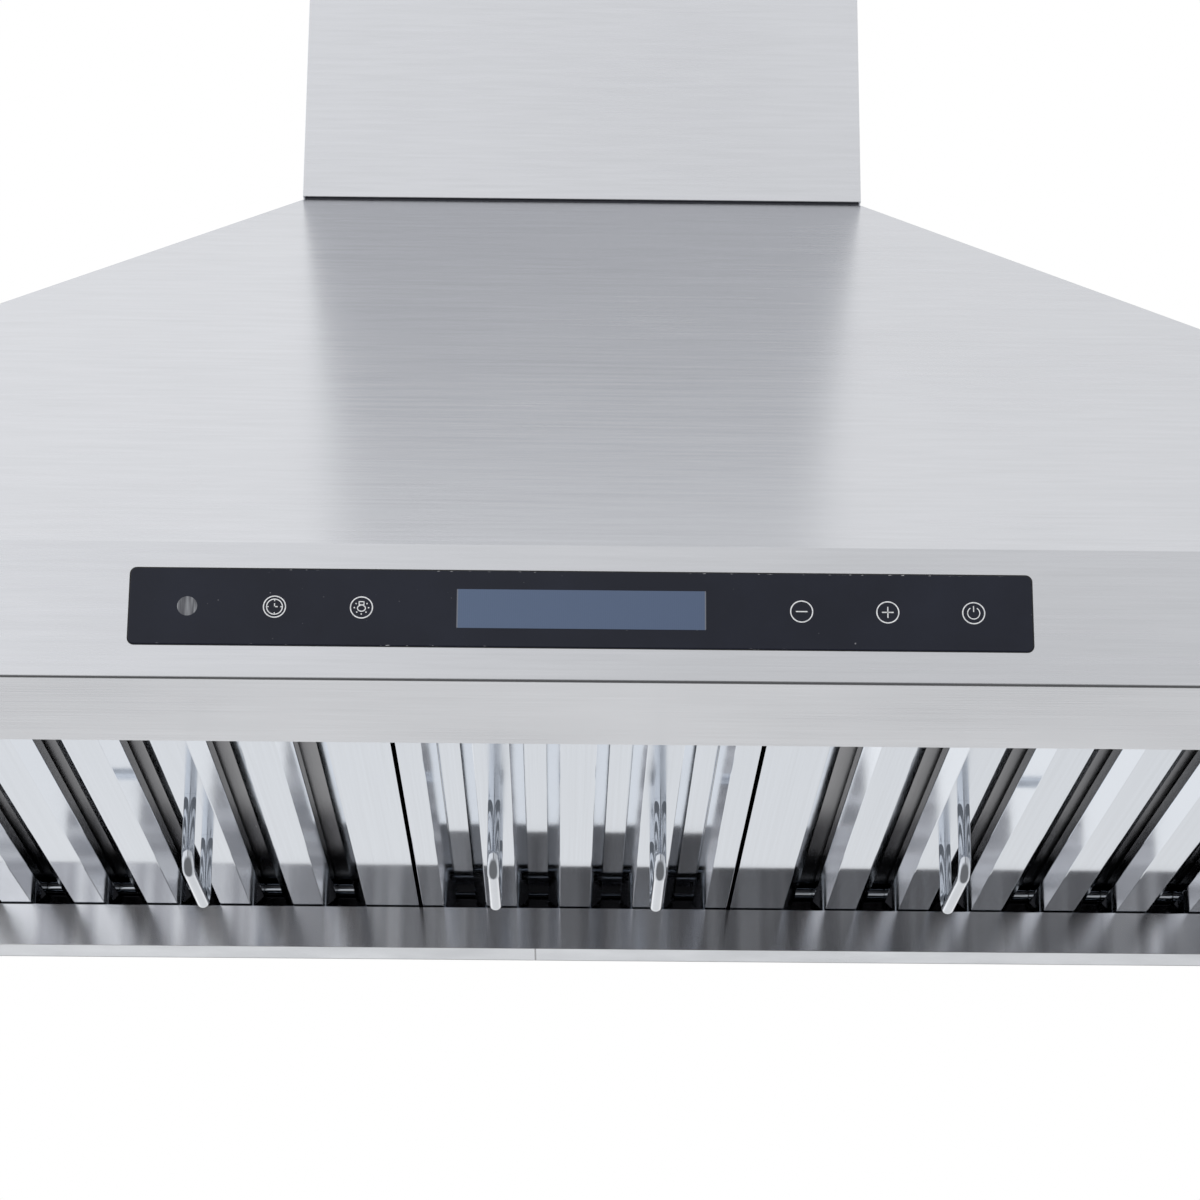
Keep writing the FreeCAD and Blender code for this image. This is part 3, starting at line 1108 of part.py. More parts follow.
def cable(points):
    """A round cable along a rounded path."""
    path = rounded_path([FreeCAD.Vector(*point) for point in points])
    start = path.Vertexes[0].Point
    ring = Part.Circle(start, path.Edges[0].tangentAt(0), dims.cable_rad).toShape()
    return path.makePipeShell([Part.Wire([ring])], True, False)


def make_wiring():
    """Cables inside the canopy: control, motor, mains and one to each lamp.

    The plain numbers are points of each route in the free space round the blower.
    """
    housing_back = dims.sheet + dims.housing_deep - dims.hood_depth
    control_x = dims.housing_outlet_x
    entry_y = -dims.box_deep / 2
    in_box = dims.box_left + 3 * dims.sheet
    near_box = dims.box_left - 29
    upper, lower = dims.box_high - dims.box_entry_drop, dims.box_low + dims.box_entry_drop
    motor_end = dims.motor_start + dims.motor_long
    control = [(control_x, housing_back - 2, dims.glass_mid),
               (control_x, housing_back + 10, dims.glass_mid), (control_x, -452, 42),
               (control_x + 6, -448, 84), (control_x + 16, -330, 192), (142, -110, 165),
               (near_box, entry_y, upper), (in_box, entry_y, upper)]
    motor = [(motor_end, -165, 160), (motor_end + 9, -165, 160), (motor_end + 11, -140, 136),
             (motor_end + 9, -70, 108), (near_box, entry_y, lower), (in_box, entry_y, lower)]
    mains = [(220, -dims.gland_y, dims.box_high), (220, -dims.gland_y, 175),
             (dims.gland_x + 32, -dims.gland_y, 240), (dims.gland_x, -dims.gland_y, 270),
             (dims.gland_x, -dims.gland_y, dims.canopy_top - 9)]
    lamp_side = dims.lamp_x - dims.lamp_body_rad
    housing_side = dims.glass_wide / 2 + dims.glass_gap + dims.housing_wall
    lamp = [(lamp_side, -dims.lamp_y, 12), (lamp_side - 22, -dims.lamp_y, 12),
            (housing_side + 36, -485, 20), (housing_side, -485, 20)]
    other_lamp = [(-across, deep, up) for across, deep, up in lamp]
    runs = [cable(points) for points in (control, motor, mains, lamp, other_lamp)]
    hand_made("internal_wiring", Part.makeCompound(runs))


def check_and_write():
    """Refuse a failed object or a bad shape, then write one file for each sub-part."""
    doc.recompute()
    for item in doc.Objects:
        if "Invalid" in item.State or "Error" in item.State:
            raise RuntimeError("%s failed: %s" % (item.Name, item.State))
    cutters = ("PartDesign::Pocket", "PartDesign::Groove", "PartDesign::SubtractiveLoft")
    for item in doc.Objects:
        if item.TypeId in cutters and item.Shape.Volume > item.BaseFeature.Shape.Volume - 0.01:
            raise RuntimeError("%s cuts nothing" % item.Name)
    os.makedirs("parts", exist_ok=True)
    for piece in subparts:
        if piece.Shape.isNull() or not piece.Shape.isValid() or not piece.Shape.Solids:
            raise RuntimeError("%s has a bad shape" % piece.Label)
        piece.Shape.exportStep("parts/%s.step" % piece.Label)
        print(piece.Label, len(piece.Shape.Solids), round(piece.Shape.Volume / 1000, 2))
    print(len(subparts), "sub-parts")


make_canopy_shell()
make_rim_flange()
make_front_ledge()
make_grease_trough()
make_back_panel()
make_top_plate()
make_lower_cover()
make_upper_cover()
make_top_bracket()
side_screws("cover_screws", COVER_SCREWS, COVER_SCREW_Z, TOP_HALF, "4 * dims.sheet")
side_screws("bracket_screws", ("-dims.bracket_deep / 2",), BRACKET_MID, UPPER_HALF, "4 * dims.sheet")
make_control_glass()
make_control_housing()
make_control_board()
make_display_and_sensor()
make_lamp("left", "-")
make_lamp("right", "")
make_filter("left", "-" + SIDE_X, "side")
make_filter("centre", "0", "centre")
make_filter("right", SIDE_X, "side")
make_scroll()
make_inlet_rings()
make_impeller()
make_shaft_and_rotor()
make_motor()
make_motor_bracket()
make_grommets_and_screws()
make_collar()
make_damper("front", "-", "dims.front_knuckle")
make_damper("rear", "+", "dims.rear_knuckle")
make_power_box()
make_capacitor_and_gland()
make_wiring()
check_and_write()
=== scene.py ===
"""Looks of the wall chimney hood: camera, light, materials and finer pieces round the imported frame."""
import math

import bmesh
import bpy
from mathutils import Matrix, Vector


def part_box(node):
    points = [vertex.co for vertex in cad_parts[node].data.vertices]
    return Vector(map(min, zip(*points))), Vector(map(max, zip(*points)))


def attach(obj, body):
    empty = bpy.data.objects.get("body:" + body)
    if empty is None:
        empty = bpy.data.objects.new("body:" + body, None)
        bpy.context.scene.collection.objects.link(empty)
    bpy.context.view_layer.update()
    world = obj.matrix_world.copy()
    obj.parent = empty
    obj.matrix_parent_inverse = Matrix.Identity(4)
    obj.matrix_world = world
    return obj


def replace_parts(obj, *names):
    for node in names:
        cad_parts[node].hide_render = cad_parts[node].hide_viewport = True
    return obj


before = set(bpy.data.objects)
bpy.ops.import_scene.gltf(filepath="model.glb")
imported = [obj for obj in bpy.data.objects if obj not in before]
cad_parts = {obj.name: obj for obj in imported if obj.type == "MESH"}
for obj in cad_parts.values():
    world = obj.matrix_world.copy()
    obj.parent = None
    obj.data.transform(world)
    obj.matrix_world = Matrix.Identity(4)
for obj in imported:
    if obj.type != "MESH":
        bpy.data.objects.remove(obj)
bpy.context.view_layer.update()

MM = 0.001

# ------------------------------------------------------------------ camera, light and floor

CAMERA_AT = (-0.0053, -1.6817, -0.4889)
PITCH, YAW, ROLL = 0.3030, 0.0101, 0.0064
LENS, SENSOR = 103.63, 36.0
FLOOR_LEVEL, FLOOR_REACH = -1.65, 14.0
ROOM_STRENGTH = 0.22
"""Strength of the world in the dark room, where the studio's white is 1."""


def make_camera():
    """Long lens a little over a metre in front of the band, looking up at it."""
    data = bpy.data.cameras.new("camera")
    data.lens = LENS
    data.sensor_width = SENSOR
    data.clip_end = 100.0
    forward = Vector((math.sin(YAW) * math.cos(PITCH), math.cos(YAW) * math.cos(PITCH), math.sin(PITCH)))
    level = Vector((math.cos(YAW), -math.sin(YAW), 0.0))
    rise = level.cross(forward)
    right = math.cos(ROLL) * level + math.sin(ROLL) * rise
    up = math.cos(ROLL) * rise - math.sin(ROLL) * level
    camera = bpy.data.objects.new("camera", data)
    bpy.context.scene.collection.objects.link(camera)
    turn = Matrix((right, up, -forward)).transposed().to_4x4()
    camera.matrix_world = Matrix.Translation(CAMERA_AT) @ turn
    bpy.context.scene.camera = camera


def soft_box(name, at, toward, side, watts):
    """Square soft box at a point, turned towards another."""
    data = bpy.data.lights.new(name, "AREA")
    data.shape = "SQUARE"
    data.size = side
    data.energy = watts
    lamp = bpy.data.objects.new(name, data)
    turn = (Vector(toward) - Vector(at)).to_track_quat("-Z", "Y")
    lamp.matrix_world = Matrix.Translation(at) @ turn.to_matrix().to_4x4()
    bpy.context.scene.collection.objects.link(lamp)


# ------------------------------------------------------------------ material nodes


class Graph:
    """The nodes of one material, or of the world where its tree is given."""

    def __init__(self, slot, tree=None):
        self.tree = tree
        if tree is not None:
            return
        self.material = bpy.data.materials.new("look_" + slot)
        self.material.use_nodes = True
        self.tree = self.material.node_tree
        self.tree.nodes.clear()
        self.shader = self.add("ShaderNodeBsdfPrincipled")
        out = self.add("ShaderNodeOutputMaterial")
        self.tree.links.new(self.shader.outputs[0], out.inputs["Surface"])
        coords = self.add("ShaderNodeTexCoord")
        self.place = coords.outputs["Object"]
        self.facing = coords.outputs["Normal"]

    def add(self, kind, **settings):
        node = self.tree.nodes.new(kind)
        for key, value in settings.items():
            setattr(node, key, value)
        return node

    def feed(self, socket, value):
        if isinstance(value, bpy.types.NodeSocket):
            self.tree.links.new(value, socket)
        elif isinstance(value, tuple) and len(value) == 3 and socket.type == "RGBA":
            socket.default_value = (*value, 1.0)
        else:
            socket.default_value = value

    def set(self, **values):
        """Shader sockets by name, with spaces written as underscores."""
        for key, value in values.items():
            self.feed(self.shader.inputs[key.replace("_", " ")], value)

    def scaled(self, x, y, z):
        node = self.add("ShaderNodeMapping")
        self.feed(node.inputs["Vector"], self.place)
        node.inputs["Scale"].default_value = (x, y, z)
        return node.outputs["Vector"]

    def noise(self, vector, detail=2.0, rough=0.5, scale=1.0):
        node = self.add("ShaderNodeTexNoise")
        self.feed(node.inputs["Vector"], vector)
        node.inputs["Scale"].default_value = scale
        node.inputs["Detail"].default_value = detail
        node.inputs["Roughness"].default_value = rough
        return node.outputs["Fac"]

    def cells(self, vector, scale, feature="F1", output="Color"):
        node = self.add("ShaderNodeTexVoronoi", feature=feature)
        self.feed(node.inputs["Vector"], vector)
        node.inputs["Scale"].default_value = scale
        return node.outputs[output]

    def remap(self, value, low, high, out_low=0.0, out_high=1.0):
        """The value moved from one range to another, and held inside it."""
        node = self.add("ShaderNodeMapRange")
        self.feed(node.inputs["Value"], value)
        ends = {"From Min": low, "From Max": high, "To Min": out_low, "To Max": out_high}
        for key, number in ends.items():
            self.feed(node.inputs[key], number)
        return node.outputs["Result"]

    def math(self, operation, first, second=0.0):
        node = self.add("ShaderNodeMath", operation=operation)
        self.feed(node.inputs[0], first)
        self.feed(node.inputs[1], second)
        return node.outputs[0]

    def mix(self, share, first, second):
        """Colour between two others."""
        node = self.add("ShaderNodeMix", data_type="RGBA")
        self.feed(node.inputs["Factor"], share)
        self.feed(node.inputs[6], first)
        self.feed(node.inputs[7], second)
        return node.outputs[2]

    def blend(self, share, first, second):
        """Number between two others."""
        node = self.add("ShaderNodeMix", data_type="FLOAT")
        self.feed(node.inputs[0], share)
        self.feed(node.inputs[2], first)
        self.feed(node.inputs[3], second)
        return node.outputs[0]

    def split(self, vector):
        node = self.add("ShaderNodeSeparateXYZ")
        self.feed(node.inputs[0], vector)
        return node.outputs

    def bump(self, height, depth, strength=1.0):
        node = self.add("ShaderNodeBump")
        self.feed(node.inputs["Height"], height)
        node.inputs["Distance"].default_value = depth
        node.inputs["Strength"].default_value = strength
        return node.outputs["Normal"]

    def direction(self, x, y, z):
        node = self.add("ShaderNodeCombineXYZ")
        for socket, number in zip(node.inputs, (x, y, z)):
            socket.default_value = number
        return node.outputs[0]


def make_light():
    """White studio with a dark room low in front and dark below, a white backdrop and one soft box."""
    world = bpy.data.worlds.new("studio")
    bpy.context.scene.world = world
    world.use_nodes = True
    tree = world.node_tree
    g = Graph("studio", tree)
    x, y, z = g.split(g.add("ShaderNodeTexCoord").outputs["Generated"])
    in_front = g.remap(y, 0.1, -0.4)
    sides = g.remap(x, -0.5, 0.5, 1.17, 0.88)
    low_front = g.remap(x, -0.2, 0.05, 1.08, 0.68)
    front = g.blend(g.remap(z, 0.2, 0.5), low_front, 1.17)
    low_back = g.math("MULTIPLY", g.remap(z, -0.03, -0.12), g.remap(y, 0.3, 0.6))
    wall = g.blend(low_back, g.blend(in_front, sides, front), g.remap(x, -0.5, 0.5, 0.93, 0.80))
    across = g.math("POWER", g.math("MULTIPLY", g.math("SUBTRACT", x, 0.05), 1 / 0.12), 2.0)
    along = g.math("POWER", g.math("MULTIPLY", g.math("ADD", z, 0.22), 1 / 0.30), 2.0)
    room = g.math("MULTIPLY", in_front, g.remap(g.math("ADD", across, along), 0.6, 1.3, 1.0, 0.0))
    below = g.remap(z, -0.35, -0.6)
    high_front = g.math("MULTIPLY", g.remap(z, 0.5, 0.75), g.remap(y, 0.05, -0.3))
    strength = g.blend(high_front, wall, 0.75)
    strength = g.blend(g.math("MAXIMUM", room, below), strength, ROOM_STRENGTH)
    backdrop = g.add("ShaderNodeLightPath").outputs["Is Camera Ray"]
    strength = g.blend(backdrop, strength, 1.0)
    background = tree.nodes["Background"]
    background.inputs["Color"].default_value = (1.0, 1.0, 1.0, 1.0)
    g.feed(background.inputs["Strength"], strength)
    soft_box("softbox_left", (-2.2, -2.2, 1.6), (0.0, -0.2, 0.1), 2.6, 6.0)
    bpy.context.scene.view_settings.view_transform = "Standard"


GRAIN_ACROSS, GRAIN_ALONG = 1500.0, 9.0
"""Brushed lines in a metre across the grain and along it."""
TROUGH_SEAM = -19.0 * MM
# Colour of the painted shade along the canopy's hem.
HEM_PAINTED_SHADE = (0.02, 0.02, 0.02)
# Colour of the painted shade inside the filter frames' rear channel.
CHANNEL_PAINTED_SHADE = (0.02, 0.02, 0.022)
REAR_CHANNEL = -15.0 * MM
# Where the filter frames' rear channel begins; painted shade darkens it inside.
"""Where the filter frames' rear channel begins; it is dark inside."""


def shade(colour, factor):
    """A colour made lighter or darker."""
    return tuple(min(1.0, c * factor) for c in colour)


def levelness(g):
    """How level a face is, from 0 on an upright one to 1 on a flat one."""
    return g.math("ABSOLUTE", g.split(g.facing)[2])


def brushed(slot, colour, rough, hem=None):
    """Brushed sheet, its grain running level round the object, darker round a hem at that height as painted
    shade.
    """
    g = Graph(slot)
    flat = g.remap(levelness(g), 0.8, 0.95)
    fine, long = GRAIN_ACROSS, GRAIN_ALONG
    streaks = g.blend(flat, g.noise(g.scaled(long, long, fine), 3.0, 0.6),
                      g.noise(g.scaled(long, fine, long), 3.0, 0.6))
    fine, long = GRAIN_ACROSS * 0.35, GRAIN_ALONG * 3
    lines = g.blend(flat, g.noise(g.scaled(long, long, fine), 2.0), g.noise(g.scaled(long, fine, long), 2.0))
    smudge = g.noise(g.place, 3.0, 0.55, 7.0)
    tone = g.math("ADD", g.math("MULTIPLY", streaks, 0.6), g.math("MULTIPLY", lines, 0.4))
    steel = g.mix(g.remap(tone, 0.3, 0.7), shade(colour, 0.95), shade(colour, 1.05))
    if hem is not None:
        # painted shade: the sheet just above the hem level is darkened towards black, standing in for the
        # fold's shade
        in_hem = g.remap(g.split(g.place)[2], hem + 0.4 * MM, hem + 0.9 * MM, 0.5, 0.0)
        steel = g.mix(in_hem, steel, HEM_PAINTED_SHADE)
    g.set(Metallic=1.0, Anisotropic=0.75, Base_Color=steel,
          Roughness=g.math("ADD", g.remap(streaks, 0.3, 0.7, rough - 0.02, rough + 0.03),
                           g.remap(smudge, 0.3, 0.7, -0.015, 0.02)),
          Normal=g.bump(tone, 0.00002, 0.5),
          Tangent=g.direction(0.0, 0.02, 1.0))
    return g.material


def trough(slot):
    """Polished trough with streaks up its front wall, painted light making the wall lighter to the left, and
    a seam in its floor.
    """
    g = Graph(slot)
    across = g.split(g.place)[0]
    streak = g.noise(g.scaled(42.0, 0.2, 0.2), 2.0, 0.6)
    haze = g.noise(g.place, 3.0, 0.6, 25.0)
    floor = g.remap(levelness(g), 0.5, 0.9)
    off_seam = g.math("ABSOLUTE", g.math("SUBTRACT", across, TROUGH_SEAM))
    seam = g.math("MULTIPLY", floor, g.remap(off_seam, 0.3 * MM, 0.5 * MM, 0.75, 0.0))
    band = g.remap(streak, 0.44, 0.56)
    plain = g.mix(band, (0.33, 0.33, 0.345), (0.56, 0.56, 0.58))
    bright = g.mix(band, (0.60, 0.60, 0.63), (0.96, 0.96, 0.98))
    # painted light: the wall runs from the lighter mix at the left end to the plain one in the middle
    wall = g.mix(g.remap(across, -0.30, 0.0, 1.0, 0.0), plain, bright)
    tone = g.mix(floor, wall, (0.82, 0.85, 0.90))
    g.set(Metallic=1.0, Anisotropic=1.0,
          Base_Color=g.mix(seam, tone, (0.12, 0.12, 0.13)),
          Roughness=g.remap(haze, 0.3, 0.7, 0.15, 0.19),
          Tangent=g.direction(0.0, 0.02, 1.0))
    return g.material


def polished(slot, colour, rough):
    """Polished sheet with faint smudges and hairlines."""
    g = Graph(slot)
    smudge = g.noise(g.place, 4.0, 0.6, 22.0)
    hair = g.noise(g.scaled(400.0, 12.0, 400.0), 3.0, 0.6)
    g.set(Metallic=1.0,
          Base_Color=g.mix(g.remap(smudge, 0.35, 0.65), shade(colour, 0.97), shade(colour, 1.03)),
          Roughness=g.math("ADD", g.remap(smudge, 0.35, 0.7, rough, rough + 0.04),
                           g.remap(hair, 0.4, 0.7, 0.0, 0.02)),
          Normal=g.bump(hair, 0.00001, 0.3))
    return g.material


def drawn(slot, colour, rough, shade_channel=False):
    """Bright drawn strip with its grain along the baffles.

    Its chamfers are painted lighter than its flats as painted light, and its upright legs darker as
    painted shade; when asked, a frame also carries painted shade inside its rear channel.
    """
    g = Graph(slot)
    hair = g.noise(g.scaled(900.0, 5.0, 900.0), 3.0, 0.6)
    smudge = g.noise(g.place, 4.0, 0.6, 18.0)
    level = levelness(g)
    tone = g.mix(g.remap(hair, 0.3, 0.7), shade(colour, 0.97), shade(colour, 1.03))
    # painted light: faces between level and upright, the chamfers, get a lighter colour
    tone = g.mix(g.remap(level, 0.80, 0.92), shade(colour, 1.14), tone)
    # painted shade: upright faces, the legs, get a much darker colour
    tone = g.mix(g.remap(level, 0.10, 0.40), shade(colour, 0.35), tone)
    if shade_channel:
        # painted shade: the frame is darkened towards black inside its rear channel
        in_channel = g.remap(g.split(g.place)[1], REAR_CHANNEL, REAR_CHANNEL + MM)
        tone = g.mix(in_channel, tone, CHANNEL_PAINTED_SHADE)
    g.set(Metallic=1.0, Anisotropic=0.95, Base_Color=tone,
          Roughness=g.math("ADD", g.remap(smudge, 0.35, 0.7, rough, rough + 0.03),
                           g.remap(hair, 0.4, 0.7, 0.0, 0.01)),
          Normal=g.bump(hair, 0.00001, 0.3),
          Tangent=g.direction(1.0, 0.0, 0.02))
    return g.material


def spangled(slot, colour, rough):
    """Galvanised sheet with its crystal spangle."""
    g = Graph(slot)
    tone = g.split(g.cells(g.place, 140.0))[0]
    mottle = g.noise(g.place, 3.0, 0.6, 60.0)
    g.set(Metallic=0.92,
          Base_Color=g.mix(g.math("MULTIPLY", tone, 0.6), shade(colour, 0.86), shade(colour, 1.1)),
          Roughness=g.math("ADD", g.remap(tone, 0.0, 1.0, rough - 0.06, rough + 0.08),
                           g.remap(mottle, 0.3, 0.7, -0.03, 0.05)),
          Normal=g.bump(mottle, 0.00005, 0.4))
    return g.material


def moulded(slot, colour, rough, pores=2600.0, depth=0.00006, wear=1.25):
    """Moulded plastic or rubber with a fine grain and slightly rubbed patches."""
    g = Graph(slot)
    grain = g.noise(g.place, 2.0, 0.5, pores)
    rubbed = g.noise(g.place, 4.0, 0.6, 35.0)
    g.set(Base_Color=g.mix(g.remap(rubbed, 0.45, 0.75), colour, shade(colour, wear)),
          Roughness=g.math("ADD", g.remap(grain, 0.3, 0.7, rough - 0.05, rough + 0.05),
                           g.remap(rubbed, 0.4, 0.8, 0.0, -0.06)),
          Normal=g.bump(grain, depth, 0.6))
    return g.material


def turned(slot, colour, rough, scale=900.0):
    """Machined or cast metal with fine turning marks and mottling."""
    g = Graph(slot)
    marks = g.noise(g.scaled(scale, 20.0, 20.0), 2.0, 0.6)
    mottle = g.noise(g.place, 3.0, 0.6, 120.0)
    g.set(Metallic=1.0,
          Base_Color=g.mix(g.remap(mottle, 0.35, 0.65), shade(colour, 0.9), shade(colour, 1.08)),
          Roughness=g.math("ADD", g.remap(marks, 0.3, 0.7, rough - 0.04, rough + 0.05),
                           g.remap(mottle, 0.3, 0.7, 0.0, 0.05)),
          Normal=g.bump(marks, 0.00003, 0.5))
    return g.material


def board(slot):
    """Green circuit board with tracks and pads."""
    g = Graph(slot)
    tracks = g.cells(g.place, 420.0, "DISTANCE_TO_EDGE", "Distance")
    weave = g.noise(g.place, 2.0, 0.5, 900.0)
    g.set(Base_Color=g.mix(g.remap(tracks, 0.04, 0.09), (0.10, 0.28, 0.12), (0.015, 0.10, 0.045)),
          Roughness=g.remap(weave, 0.3, 0.7, 0.28, 0.42),
          Normal=g.bump(tracks, 0.00006, 0.5))
    return g.material


def copper(slot):
    """Enamelled copper windings, bright and dark by turns."""
    g = Graph(slot)
    turns = g.noise(g.scaled(1400.0, 60.0, 60.0), 1.0, 0.4)
    g.set(Metallic=0.85,
          Base_Color=g.mix(g.remap(turns, 0.4, 0.6), (0.30, 0.10, 0.035), (0.62, 0.27, 0.11)),
          Roughness=g.remap(turns, 0.3, 0.7, 0.25, 0.42),
          Normal=g.bump(turns, 0.0002, 0.7))
    return g.material


def frosted(slot):
    """Frosted lamp glass."""
    g = Graph(slot)
    frost = g.noise(g.place, 3.0, 0.6, 1400.0)
    g.set(Base_Color=g.mix(g.remap(frost, 0.3, 0.7), (0.80, 0.81, 0.80), (0.92, 0.93, 0.92)),
          Roughness=g.remap(frost, 0.3, 0.7, 0.18, 0.36),
          Normal=g.bump(frost, 0.00005, 0.6))
    return g.material


def glass(slot, colour=(0.010, 0.012, 0.021)):
    """Back-printed touch glass with fingerprints, specks of dust and chips along its edges."""
    g = Graph(slot)
    smear = g.noise(g.place, 4.0, 0.6, 30.0)
    specks = g.remap(g.noise(g.place, 1.0, 0.5, 700.0), 0.80, 0.86)
    from_middle = g.math("ABSOLUTE", g.math("SUBTRACT", g.split(g.place)[2], GLASS_MID.z))
    rim = GLASS_HIGH.z - GLASS_MID.z
    chipped = g.remap(g.noise(g.scaled(420.0, 420.0, 1300.0), 2.0, 0.6), 0.62, 0.68, 0.0, 0.8)
    patches = g.remap(g.noise(g.scaled(28.0, 1.0, 28.0), 1.0, 0.5), 0.50, 0.58)
    edge = g.remap(from_middle, rim - 0.48 * MM, rim - 0.22 * MM)
    chips = g.math("MULTIPLY", g.math("MULTIPLY", chipped, patches), edge)
    printed = g.mix(g.remap(smear, 0.4, 0.8), colour, shade(colour, 1.35))
    g.set(Base_Color=g.mix(chips, g.mix(specks, printed, (0.20, 0.20, 0.22)), (0.62, 0.62, 0.64)),
          Roughness=g.remap(smear, 0.35, 0.75, 0.05, 0.12),
          Specular_IOR_Level=0.22)
    return g.material


def display(slot):
    """Unlit liquid crystal window, slate blue, with the faint ghost of its cells."""
    g = Graph(slot)
    rows = g.add("ShaderNodeTexWave", wave_type="BANDS", bands_direction="X")
    g.feed(rows.inputs["Vector"], g.place)
    rows.inputs["Scale"].default_value = 420.0
    across = g.split(g.place)[0]
    half_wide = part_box("lcd_display")[1][0]
    fade = g.remap(across, -0.045, 0.045)
    haze = g.noise(g.place, 3.0, 0.5, 45.0)
    frame_line = g.remap(g.math("ABSOLUTE", across), half_wide - 0.5 * MM, half_wide - 0.35 * MM)
    slate = g.mix(fade, (0.100, 0.140, 0.225), (0.090, 0.125, 0.205))
    tone = g.mix(frame_line, slate, (0.17, 0.18, 0.21))
    g.set(Base_Color=g.mix(g.math("MULTIPLY", rows.outputs["Fac"], 0.10), tone, (0.045, 0.065, 0.115)),
          Roughness=g.remap(haze, 0.3, 0.7, 0.06, 0.12),
          Specular_IOR_Level=0.22)
    return g.material


def sensor(slot):
    """Smoked sensor window with the streaks of the lens behind it."""
    g = Graph(slot)
    streak = g.noise(g.scaled(1100.0, 1.0, 60.0), 1.0, 0.5)
    g.set(Base_Color=g.mix(g.remap(streak, 0.42, 0.68), (0.085, 0.087, 0.10), (0.27, 0.28, 0.30)),
          Roughness=g.remap(streak, 0.3, 0.7, 0.15, 0.3),
          Specular_IOR_Level=0.3)
    return g.material


def ink():
    """Pale grey printing under the glass."""
    g = Graph("panel_print")
    wear = g.noise(g.place, 3.0, 0.6, 900.0)
    g.set(Base_Color=g.mix(g.remap(wear, 0.35, 0.6), (0.60, 0.61, 0.63), (0.82, 0.83, 0.85)),
          Roughness=g.remap(wear, 0.3, 0.7, 0.25, 0.4))
    return g.material


GLASS_LOW, GLASS_HIGH = (Vector(corner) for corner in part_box("control_glass"))
GLASS_MID = (GLASS_LOW + GLASS_HIGH) / 2

STEEL = (0.655, 0.667, 0.70)
STRIP = (0.675, 0.715, 0.775)

LOOKS = {
    "brushed_stainless": brushed("brushed_stainless", STEEL, 0.24),
    "polished_stainless": polished("polished_stainless", (0.58, 0.612, 0.665), 0.06),
    "galvanised_sheet": spangled("galvanised_sheet", (0.50, 0.51, 0.52), 0.38),
    "black_glass": glass("black_glass"),
    "display": display("display"),
    "sensor_window": sensor("sensor_window"),
    "circuit_board": board("circuit_board"),
    "black_plastic": moulded("black_plastic", (0.02, 0.02, 0.021), 0.45),
    "grey_plastic": moulded("grey_plastic", (0.32, 0.33, 0.34), 0.42),
    "lamp_lens": frosted("lamp_lens"),
    "lamp_aluminium": turned("lamp_aluminium", (0.74, 0.75, 0.76), 0.35),
    "motor_paint": moulded("motor_paint", (0.05, 0.052, 0.055), 0.35, 1100.0, 0.0001),
    "windings": copper("windings"),
    "bearing_steel": turned("bearing_steel", (0.60, 0.60, 0.61), 0.16),
    "rotor_steel": turned("rotor_steel", (0.34, 0.33, 0.32), 0.38, 2400.0),
    "screw_steel": turned("screw_steel", (0.58, 0.58, 0.57), 0.24),
    "rubber": moulded("rubber", (0.018, 0.018, 0.018), 0.7, 1800.0, 0.0001, 1.6),
    "cable": moulded("cable", (0.10, 0.10, 0.105), 0.5, 1500.0, 0.00005),
    "capacitor_case": moulded("capacitor_case", (0.55, 0.56, 0.57), 0.38),
    "flap_aluminium": turned("flap_aluminium", (0.72, 0.73, 0.74), 0.3, 500.0),
}
INK = ink()
BAFFLE = drawn("baffles", STRIP, 0.075)
# The frames carry painted shade inside their rear channel.
FRAME = drawn("filter_frames", STRIP, 0.075, shade_channel=True)
# painted shade: the side filters' upper baffles, deep in the slots, get a near-black colour
SHADED_INNER_BAFFLE = drawn("shaded_inner_baffles", (0.11, 0.11, 0.12), 0.24)
NODE_LOOKS = {
    "canopy_shell": brushed("canopy", STEEL, 0.24, hem=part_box("canopy_shell")[0][2]),
    "rim_flange": brushed("flange", (0.86, 0.875, 0.915), 0.24),
    "grease_trough": trough("trough"),
    "top_plate": spangled("shaded_plate", (0.055, 0.057, 0.068), 0.5),
}
for side in ("left", "centre", "right"):
    for part in ("frame", "lower_baffles", "upper_baffles"):
        # the side filters' upper baffles take the dark look that paints the slots' shade
        in_slot_shade = part == "upper_baffles" and side != "centre"
        look = FRAME if part == "frame" else SHADED_INNER_BAFFLE if in_slot_shade else BAFFLE
        NODE_LOOKS["filter_%s_%s" % (side, part)] = look

# ------------------------------------------------------------------ finish on the CAD nodes


WELD_NEAR, EDGE_WIDE = 0.01 * MM, 0.25 * MM
SHEET_METAL = ("polished_stainless", "brushed_stainless", "galvanised_sheet")


def finish_nodes():
    """Gives every CAD node its look, and the sheet metal its soft edges."""
    for name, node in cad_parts.items():
        slot = node.data.materials[0].name.split(".")[0]
        node.material_slots[0].material = NODE_LOOKS.get(name, LOOKS[slot])
        if slot in SHEET_METAL:
            weld = node.modifiers.new("weld", "WELD")
            weld.merge_threshold = WELD_NEAR
            bevel = node.modifiers.new("edges", "BEVEL")
            bevel.width = EDGE_WIDE
            bevel.segments = 2
            bevel.limit_method = "ANGLE"
            bevel.angle_limit = math.radians(30)
            bevel.harden_normals = True
            node.modifiers.new("shade", "WEIGHTED_NORMAL").keep_sharp = True


# ------------------------------------------------------------------ touch strip

PRINT_FRONT = GLASS_LOW.y
PANE_FRONT = GLASS_LOW.y + 0.05 * MM
PRINT_BACK = PANE_FRONT + 0.02 * MM
"""The print stands a hair proud of the pane and reaches a hair into it."""

